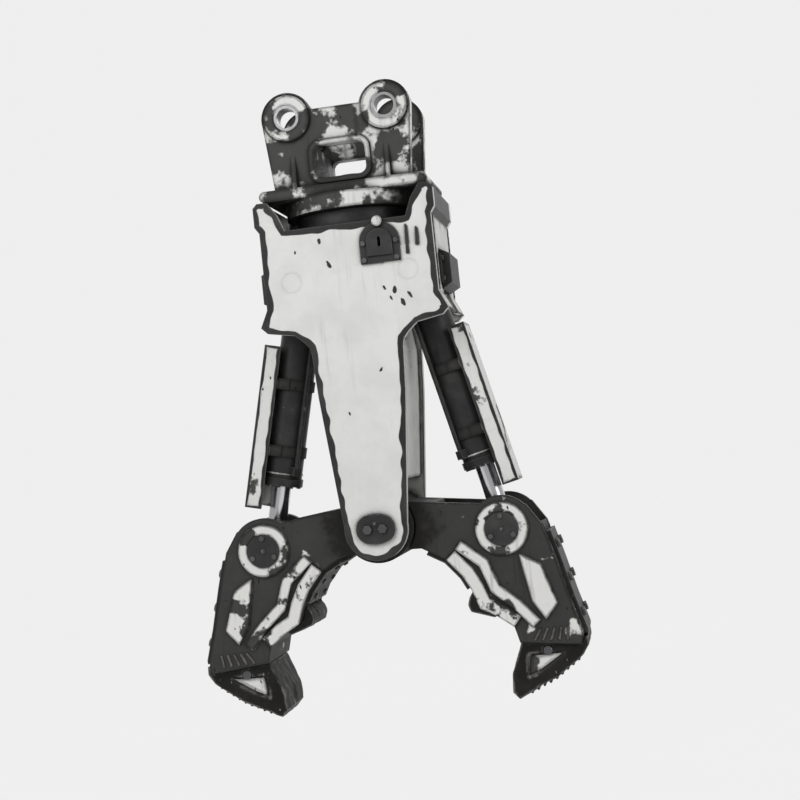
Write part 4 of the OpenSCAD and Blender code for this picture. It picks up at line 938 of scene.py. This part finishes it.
def join_rows(book: Book, rows: list[list[bmesh.types.BMVert]]) -> None:
    """Joins each closed row of corners to the next one with faces."""
    for low, high in zip(rows, rows[1:]):
        for i in range(len(low)):
            j = (i + 1) % len(low)
            book.faces.new((low[i], low[j], high[j], high[i]))


def add_turned(book: Book, foot: Vector, axis: Vector, profile: tuple[Pair, ...], steps: int = 28) -> None:
    """Adds a turned shape from rows of radius and height along an axis."""
    out = axis.orthogonal().normalized()
    side = axis.normalized().cross(out)
    spokes = [out * math.cos(t) + side * math.sin(t) for t in (math.tau * i / steps for i in range(steps))]
    rows = []
    for radius, height in profile:
        centre = foot + axis.normalized() * height
        rows.append([book.verts.new(centre + spoke * radius) for spoke in spokes])
    join_rows(book, rows)
    book.faces.new(list(reversed(rows[0])))
    book.faces.new(rows[-1])


def outer_loop(source: Piece, face: Face) -> tuple[list[Pair], float]:
    """Finds the tallest closed outline of a solid's outermost flat face.

    Args:
        source: The solid.
        face: The side that the flat face looks to.

    Returns:
        The outline as places along x and z, and the level of the face.
    """
    book = bmesh.new()
    book.from_mesh(source.data)
    book.transform(source.matrix_world)
    bmesh.ops.remove_doubles(book, verts=book.verts, dist=1e-5)
    plane = face.value * max(face.value * v.co.y for v in book.verts)
    away = [f for f in book.faces if abs(f.calc_center_median().y - plane) > 1e-4 or abs(f.normal.y) < 0.99]
    bmesh.ops.delete(book, geom=away, context="FACES")
    edges = (loop for f in book.faces for loop in f.loops if loop.edge.is_boundary)
    onward = {loop.vert: loop.link_loop_next.vert for loop in edges}
    rows = []
    while onward:
        start, after = onward.popitem()
        row = [start]
        while after is not start:
            row.append(after)
            after = onward.pop(after)
        rows.append([(v.co.x, v.co.z) for v in row])
    book.free()
    return max(rows, key=lambda row: max(z for _, z in row) - min(z for _, z in row)), plane


def add_worn_edge(works: Workshop, node: str, body: str, face: Face, width: float) -> None:
    """Lays a thin dark band along a plate's outline, where rubble has taken the paint off.

    Args:
        works: The workshop with the finishes.
        node: Name of the plate's solid.
        body: The body it rides on.
        face: The side of the plate.
        width: Mean width of the band, in metres.
    """
    outline, plane = outer_loop(frame["nodes"][node], face)
    points = []
    for (x0, z0), (x1, z1) in zip(outline, outline[1:] + outline[:1]):
        pieces = max(1, math.ceil(math.hypot(x1 - x0, z1 - z0) / BAND_STEP))
        points += [(x0 + (x1 - x0) * i / pieces, z0 + (z1 - z0) * i / pieces) for i in range(pieces)]
    count = len(points)
    area = sum(a[0] * b[1] - b[0] * a[1] for a, b in zip(points, points[1:] + points[:1]))
    turn = math.copysign(1.0, area)
    book = bmesh.new()
    rows = []
    for i, (x, z) in enumerate(points):
        (xa, za), (xb, zb) = points[i - 2], points[(i + 2) % count]
        length = math.hypot(xb - xa, zb - za)
        wide = width * (1.0 + BAND_SWAY * noise.noise(Vector((x * BAND_WAVES, plane, z * BAND_WAVES))))
        inner = (x - turn * (zb - za) / length * wide, z + turn * (xb - xa) / length * wide)
        corners = (((x, z), BAND_FOOT), ((x, z), BAND_TOP), (inner, BAND_TOP), (inner, BAND_FOOT))
        rows.append([book.verts.new((px, plane + face.value * depth, pz)) for (px, pz), depth in corners])
    join_rows(book, rows + rows[:1])
    works.solid(f"{node}_{face.name.lower()}_edge", body, book, "barrel_black")


@dataclass
class HeadDetails:
    """Weld seams and grease points of the head."""

    base_top: float = 1560.0
    ear_inner: float = 180.0
    ear_outer: float = 235.0
    ear_foot: float = 312.0
    cross_outer: float = 148.0
    cross_top: float = 190.0
    eye_x: float = 225.0
    eye_height: float = 1880.0
    nipple_rise: float = 104.0

    def build(self, works: Workshop) -> None:
        """Makes every added piece of the head."""
        works.welds("head_welds", "head", self._seams(), 0.0065)
        places = []
        for x in (-self.eye_x, self.eye_x):
            for face in Face:
                y = face.value
                place = at(x, y * self.ear_outer, self.eye_height + self.nipple_rise)
                places.append((place, Vector((0, y, 0))))
        works.nipples("head_grease_nipples", "head", places, 0.007, 0.010, 0.009, 0.006)

    def _seams(self) -> list[Path]:
        """Seams at the feet of the ears and of the cross plates."""
        z = self.base_top
        seams = []
        for face in Face:
            y = face.value
            for depth in (self.ear_inner, self.ear_outer):
                seams.append([at(-self.ear_foot, y * depth, z), at(self.ear_foot, y * depth, z)])
            for x in (-self.ear_foot, self.ear_foot):
                seams.append([at(x, y * self.ear_inner, z), at(x, y * self.ear_outer, z)])
            for x in (-self.cross_outer, self.cross_outer):
                seams.append([at(x, y * self.ear_inner, z), at(x, y * self.ear_inner, z + self.cross_top)])
        for x in (-self.cross_outer, self.cross_outer):
            seams.append([at(x, -self.ear_inner, z), at(x, self.ear_inner, z)])
        return seams


KNOB = ((0.017, 0.0), (0.017, 0.008), (0.010, 0.011), (0.010, 0.015), (0.019, 0.019), (0.0235, 0.024),
        (0.0235, 0.028), (0.019, 0.033), (0.010, 0.036))


@dataclass
class HousingDetails:
    """Small parts and seams on the turning frame."""

    half_length: float = 390.0
    cheek_inner: float = 260.0
    cheek_outer: float = 300.0
    skirt_top: float = 1020.0
    top: float = 1366.0
    hatch_x: float = 150.0
    hatch_top: float = 1354.0
    vent_xs: tuple[float, ...] = (272.0, 318.0)
    vent_low: float = 1196.0
    vent_high: float = 1322.0
    vent_low_step: float = 34.0
    vent_high_step: float = 16.0
    vent_half: float = 8.0
    vent_depth: float = 0.010
    web_x: float = 122.0
    web_span: Pair = (215.0, 930.0)
    top_seam_half: float = 330.0
    cap_face: float = 321.0
    cap_nipple_height: float = 24.0
    rim_width: float = 0.025
    nick_half: Pair = (8.5, 15.0)
    nick_depth: float = 0.0016
    nick_corners: int = 9
    nick_seed: int = 11
    nick_places: tuple[Triple, ...] = (
        (-122, 1300, 0.9), (-88, 1192, 1.1), (150, 1060, 0.8), (196, 1046, 1.1), (228, 988, 1.2),
        (262, 1016, 1.0), (176, 1010, 0.7), (-236, 1262, 0.6), (98, 700, 0.7), (-64, 520, 0.6),
    )

    def build(self, works: Workshop) -> None:
        """Makes every added piece of the turning frame."""
        works.welds("frame_welds", "turning_frame", self._seams(), 0.006)
        self._knob(works)
        self._vent_shade(works)
        self._nicks(works)
        for face in Face:
            cheek = "front_cheek" if face is Face.FRONT else "rear_cheek"
            add_worn_edge(works, cheek, "turning_frame", face, self.rim_width)
        places = [(at(0.0, face.value * self.cap_face, self.cap_nipple_height), Vector((0, face.value, 0)))
                  for face in Face]
        works.nipples("frame_grease_nipples", "turning_frame", places, 0.006, 0.006, 0.009, 0.005)

    def _seams(self) -> list[Path]:
        """Seams at the outer corners of the housing, over its top plate and along the tongue webs."""
        seams = []
        for side in Side:
            corner, web = side.value * self.half_length, side.value * self.web_x
            for face in Face:
                y = face.value * (self.cheek_inner - 1)
                seams.append([at(corner, y, self.skirt_top + 6), at(corner, y, self.top - 4)])
                seams.append([at(web, y, z) for z in self.web_span])
                seams.append([at(x, y, self.top) for x in (-self.top_seam_half, self.top_seam_half)])
        return seams

    def _knob(self, works: Workshop) -> None:
        """Pale round lifting knob over the hatch."""
        book = bmesh.new()
        foot = at(self.hatch_x, -self.cheek_outer + 2, self.hatch_top + 1)
        add_turned(book, foot, Vector((0, -1, 0)), KNOB)
        works.solid("hatch_knob", "turning_frame", book, "cylinder_white", 0.001)

    def _vent_shade(self, works: Workshop) -> None:
        """Short upright black strips beside the hatch, standing for the painted shade in its vent slits."""
        book = bmesh.new()
        half = self.vent_half
        for i, x in enumerate(self.vent_xs):
            low, high = self.vent_low + self.vent_low_step * i, self.vent_high - self.vent_high_step * i
            corners = ((x - half, low), (x + half, low), (x + half, high), (x - half / 4, high + half))
            outline = [at(px, -self.cheek_outer + 1, pz) for px, pz in corners]
            add_prism(book, outline, Vector((0, -self.vent_depth, 0)))
        works.solid("hatch_vent_shade", "turning_frame", book, "cap_black", 0.0015)

    def _nicks(self, works: Workshop) -> None:
        """Bare chips in the paint of the front cheek."""
        book = bmesh.new()
        chance = random.Random(self.nick_seed)
        wide, tall = self.nick_half
        for x, z, size in self.nick_places:
            outline = []
            lean = chance.uniform(-0.5, 0.5)
            for i in range(self.nick_corners):
                turn = math.tau * i / self.nick_corners
                reach = chance.uniform(0.75, 1.2) * size
                dx, dz = wide * reach * math.cos(turn), tall * reach * math.sin(turn)
                outline.append(at(x + dx + dz * lean, -self.cheek_outer + 1, z + dz))
            add_prism(book, outline, Vector((0, -self.nick_depth, 0)))
        works.solid("cheek_chips", "turning_frame", book, "cap_black")


# Outlines on the right jaw, as shares of the jaw's length along x and z.
MOUTH = ((0.178, -0.112), (0.285, -0.172), (0.352, -0.252), (0.386, -0.318), (0.414, -0.400), (0.486, -0.440),
         (0.556, -0.494), (0.574, -0.566))
BACK = ((0.846, -0.596), (0.852, -0.540), (0.812, -0.400), (0.768, -0.220), (0.722, -0.050))
PANEL = ((0.612, -0.178), (0.700, -0.230), (0.756, -0.402), (0.700, -0.470), (0.648, -0.385))
BELLY = ((0.330, -0.130), (0.430, -0.215), (0.470, -0.330), (0.560, -0.410), (0.640, -0.500))
TIP_BACK = ((0.600, -0.795), (0.715, -0.742), (0.846, -0.648))
FACET = ((0.612, -0.632), (0.755, -0.630), (0.656, -0.692), (0.600, -0.718))


@dataclass
class JawDetails:
    """Seams, hard facing and grease points of one jaw."""

    side: Side
    plate_face: float = 200.0
    belly_width: float = 0.044
    band_width: float = 0.056
    lug: Pair = (0.545, -0.057)
    lug_radius: float = 0.116
    keeper_face: float = 214.0
    back_face: float = 158.0
    tip_half: float = 172.0
    bead_margin: float = 22.0
    bead_pitch: float = 0.030
    edge_beads: int = 5
    edge_low: Pair = (0.640, -0.560)
    edge_low_step: Pair = (0.036, -0.002)
    edge_high: Pair = (0.672, -0.512)
    edge_high_step: float = 0.030

    def build(self, works: Workshop) -> None:
        """Makes every added piece of the jaw."""
        body = f"{self.side.word}_jaw"
        works.welds(f"{body}_welds", body, self._seams(), 0.0055)
        works.welds(f"{body}_hard_facing", body, self._facing(), 0.0065, "hard_facing", 0.0065)
        places = []
        for face in Face:
            lug = jaw_point(self.lug, face.value * self.keeper_face, self.side)
            places.append((lug, Vector((0, face.value, 0))))
        works.nipples(f"{body}_grease_nipples", body, places, 0.007, 0.009, 0.010, 0.006)

    def _line(self, shares: list[Pair], depth: float, closed: bool = False) -> Path:
        """A path on one face of the jaw."""
        points = [jaw_point(share, depth, self.side) for share in shares]
        return points + [points[0].copy()] if closed else points

    def _seams(self) -> list[Path]:
        """Seams round the raised shapes of both side plates, and the corner seams of the back."""
        seams = []
        belly_other = offset_path(list(BELLY), self.belly_width)
        band = [tuple(share) for share in MOUTH[1:-1]]
        band_other = offset_path(band, self.band_width)
        lug = [(self.lug[0] + self.lug_radius * math.cos(math.tau * i / 48),
                self.lug[1] + self.lug_radius * math.sin(math.tau * i / 48)) for i in range(48)]
        for face in Face:
            depth = face.value * self.plate_face
            seams.append(self._line(list(PANEL), depth, True))
            seams.append(self._line(list(BELLY) + belly_other[::-1], depth, True))
            seams.append(self._line(band_other, depth))
            seams.append(self._line(lug, depth, True))
            seams.append(self._line(list(BACK), face.value * self.back_face))
        return seams

    def _facing(self) -> list[Path]:
        """Stringer beads across the back of the tip and over the side plates' lower edge."""
        beads = []
        half = self.tip_half - self.bead_margin
        for (x0, z0), (x1, z1) in zip(TIP_BACK, TIP_BACK[1:]):
            count = max(2, round(math.hypot(x1 - x0, z1 - z0) / self.bead_pitch))
            for i in range(count):
                share = i / count
                place = (x0 + (x1 - x0) * share, z0 + (z1 - z0) * share)
                beads.append(self._line([place], -half) + self._line([place], half))
        for face in Face:
            for i in range(self.edge_beads):
                low = tuple(a + step * i for a, step in zip(self.edge_low, self.edge_low_step))
                high = (self.edge_high[0] + self.edge_high_step * i, self.edge_high[1])
                beads.append(self._line([low, high], face.value * self.plate_face))
        return beads


@dataclass
class CylinderDetails:
    """Seams of one cylinder, and the worn edge bands of its guard."""

    side: Side
    top: Pair = (265.0, 1130.0)
    foot: Pair = (545.0, -57.0)
    barrel_radius: float = 0.088
    seam_places: tuple[float, ...] = (0.132, 0.868)
    rim_width: float = 0.013

    def build(self, works: Workshop) -> None:
        """Makes every added piece of the cylinder."""
        start = at(self.side.value * self.top[0], 0, self.top[1])
        axis = (at(self.side.value * self.foot[0], 0, self.foot[1]) - start).normalized()
        seams = [ring(start + axis * place, axis, self.barrel_radius) for place in self.seam_places]
        word = self.side.word
        body = f"{word}_cylinder_barrel"
        works.welds(f"{word}_cylinder_seams", body, seams, 0.0045, "cylinder_white")
        for face in Face:
            add_worn_edge(works, f"{word}_guard", body, face, self.rim_width)


@dataclass
class WornTeeth:
    """The hard teeth, with corners rounded and skin chipped by rubble."""

    cell: float = 0.006
    smoothing: int = 4
    bite: float = 0.004
    chip: float = 0.020
    chip_floor: float = 0.22
    fine_waves: float = 26
    broad_waves: float = 9
    facet_foot: float = 153.0
    facet_depth: float = 0.011

    def build(self, works: Workshop) -> None:
        """Makes a worn tooth for each solid one and stands it in its place."""
        for side in Side:
            body = f"{side.word}_jaw"
            for kind in ("tip_tooth", "middle_tooth"):
                piece = self._worn(works, f"{side.word}_{kind}")
                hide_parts(f"{side.word}_{kind}")
                works.settle(piece, body)
            book = bmesh.new()
            for face in Face:
                outline = [jaw_point(share, face.value * self.facet_foot, side) for share in FACET]
                add_prism(book, outline, Vector((0, face.value * self.facet_depth, 0)))
            works.solid(f"{side.word}_tip_facets", body, book, "guard_white", 0.0015)

    def _worn(self, works: Workshop, node: str) -> Piece:
        """Makes the worn copy of one solid tooth.

        Args:
            works: The workshop with the finishes.
            node: Name of the solid tooth.

        Returns:
            The worn tooth, not yet on its body.
        """
        source = frame["nodes"][node]
        mesh = source.data.copy()
        mesh.transform(source.matrix_world)
        piece = stand(f"{node}_worn", mesh)
        cells = piece.modifiers.new("cells", "REMESH")
        cells.mode, cells.voxel_size = "VOXEL", self.cell
        soft = piece.modifiers.new("soft", "SMOOTH")
        soft.iterations = self.smoothing
        graph = bpy.context.evaluated_depsgraph_get()
        skin = bpy.data.meshes.new_from_object(piece.evaluated_get(graph))
        piece.modifiers.clear()
        piece.data = skin
        outward = [vertex.normal.copy() for vertex in skin.vertices]
        for vertex, normal in zip(skin.vertices, outward):
            fine = 0.5 + 0.5 * noise.noise(vertex.co * self.fine_waves)
            broad = max(0.0, noise.noise(vertex.co * self.broad_waves) - self.chip_floor)
            vertex.co -= normal * (self.bite * fine + self.chip * broad)
        for face in skin.polygons:
            face.use_smooth = True
        works.shop.coat(piece, "tooth_steel")
        return piece


def main() -> None:
    """Builds the studio, the finishes and every added piece."""
    logging.basicConfig(level=logging.INFO, format="%(message)s")
    Studio().build()
    shop = FinishShop()
    shop.coat_nodes()
    works = Workshop(shop)
    HeadDetails().build(works)
    HousingDetails().build(works)
    for side in Side:
        JawDetails(side).build(works)
        CylinderDetails(side).build(works)
    WornTeeth().build(works)


if __name__ == "__main__":
    main()
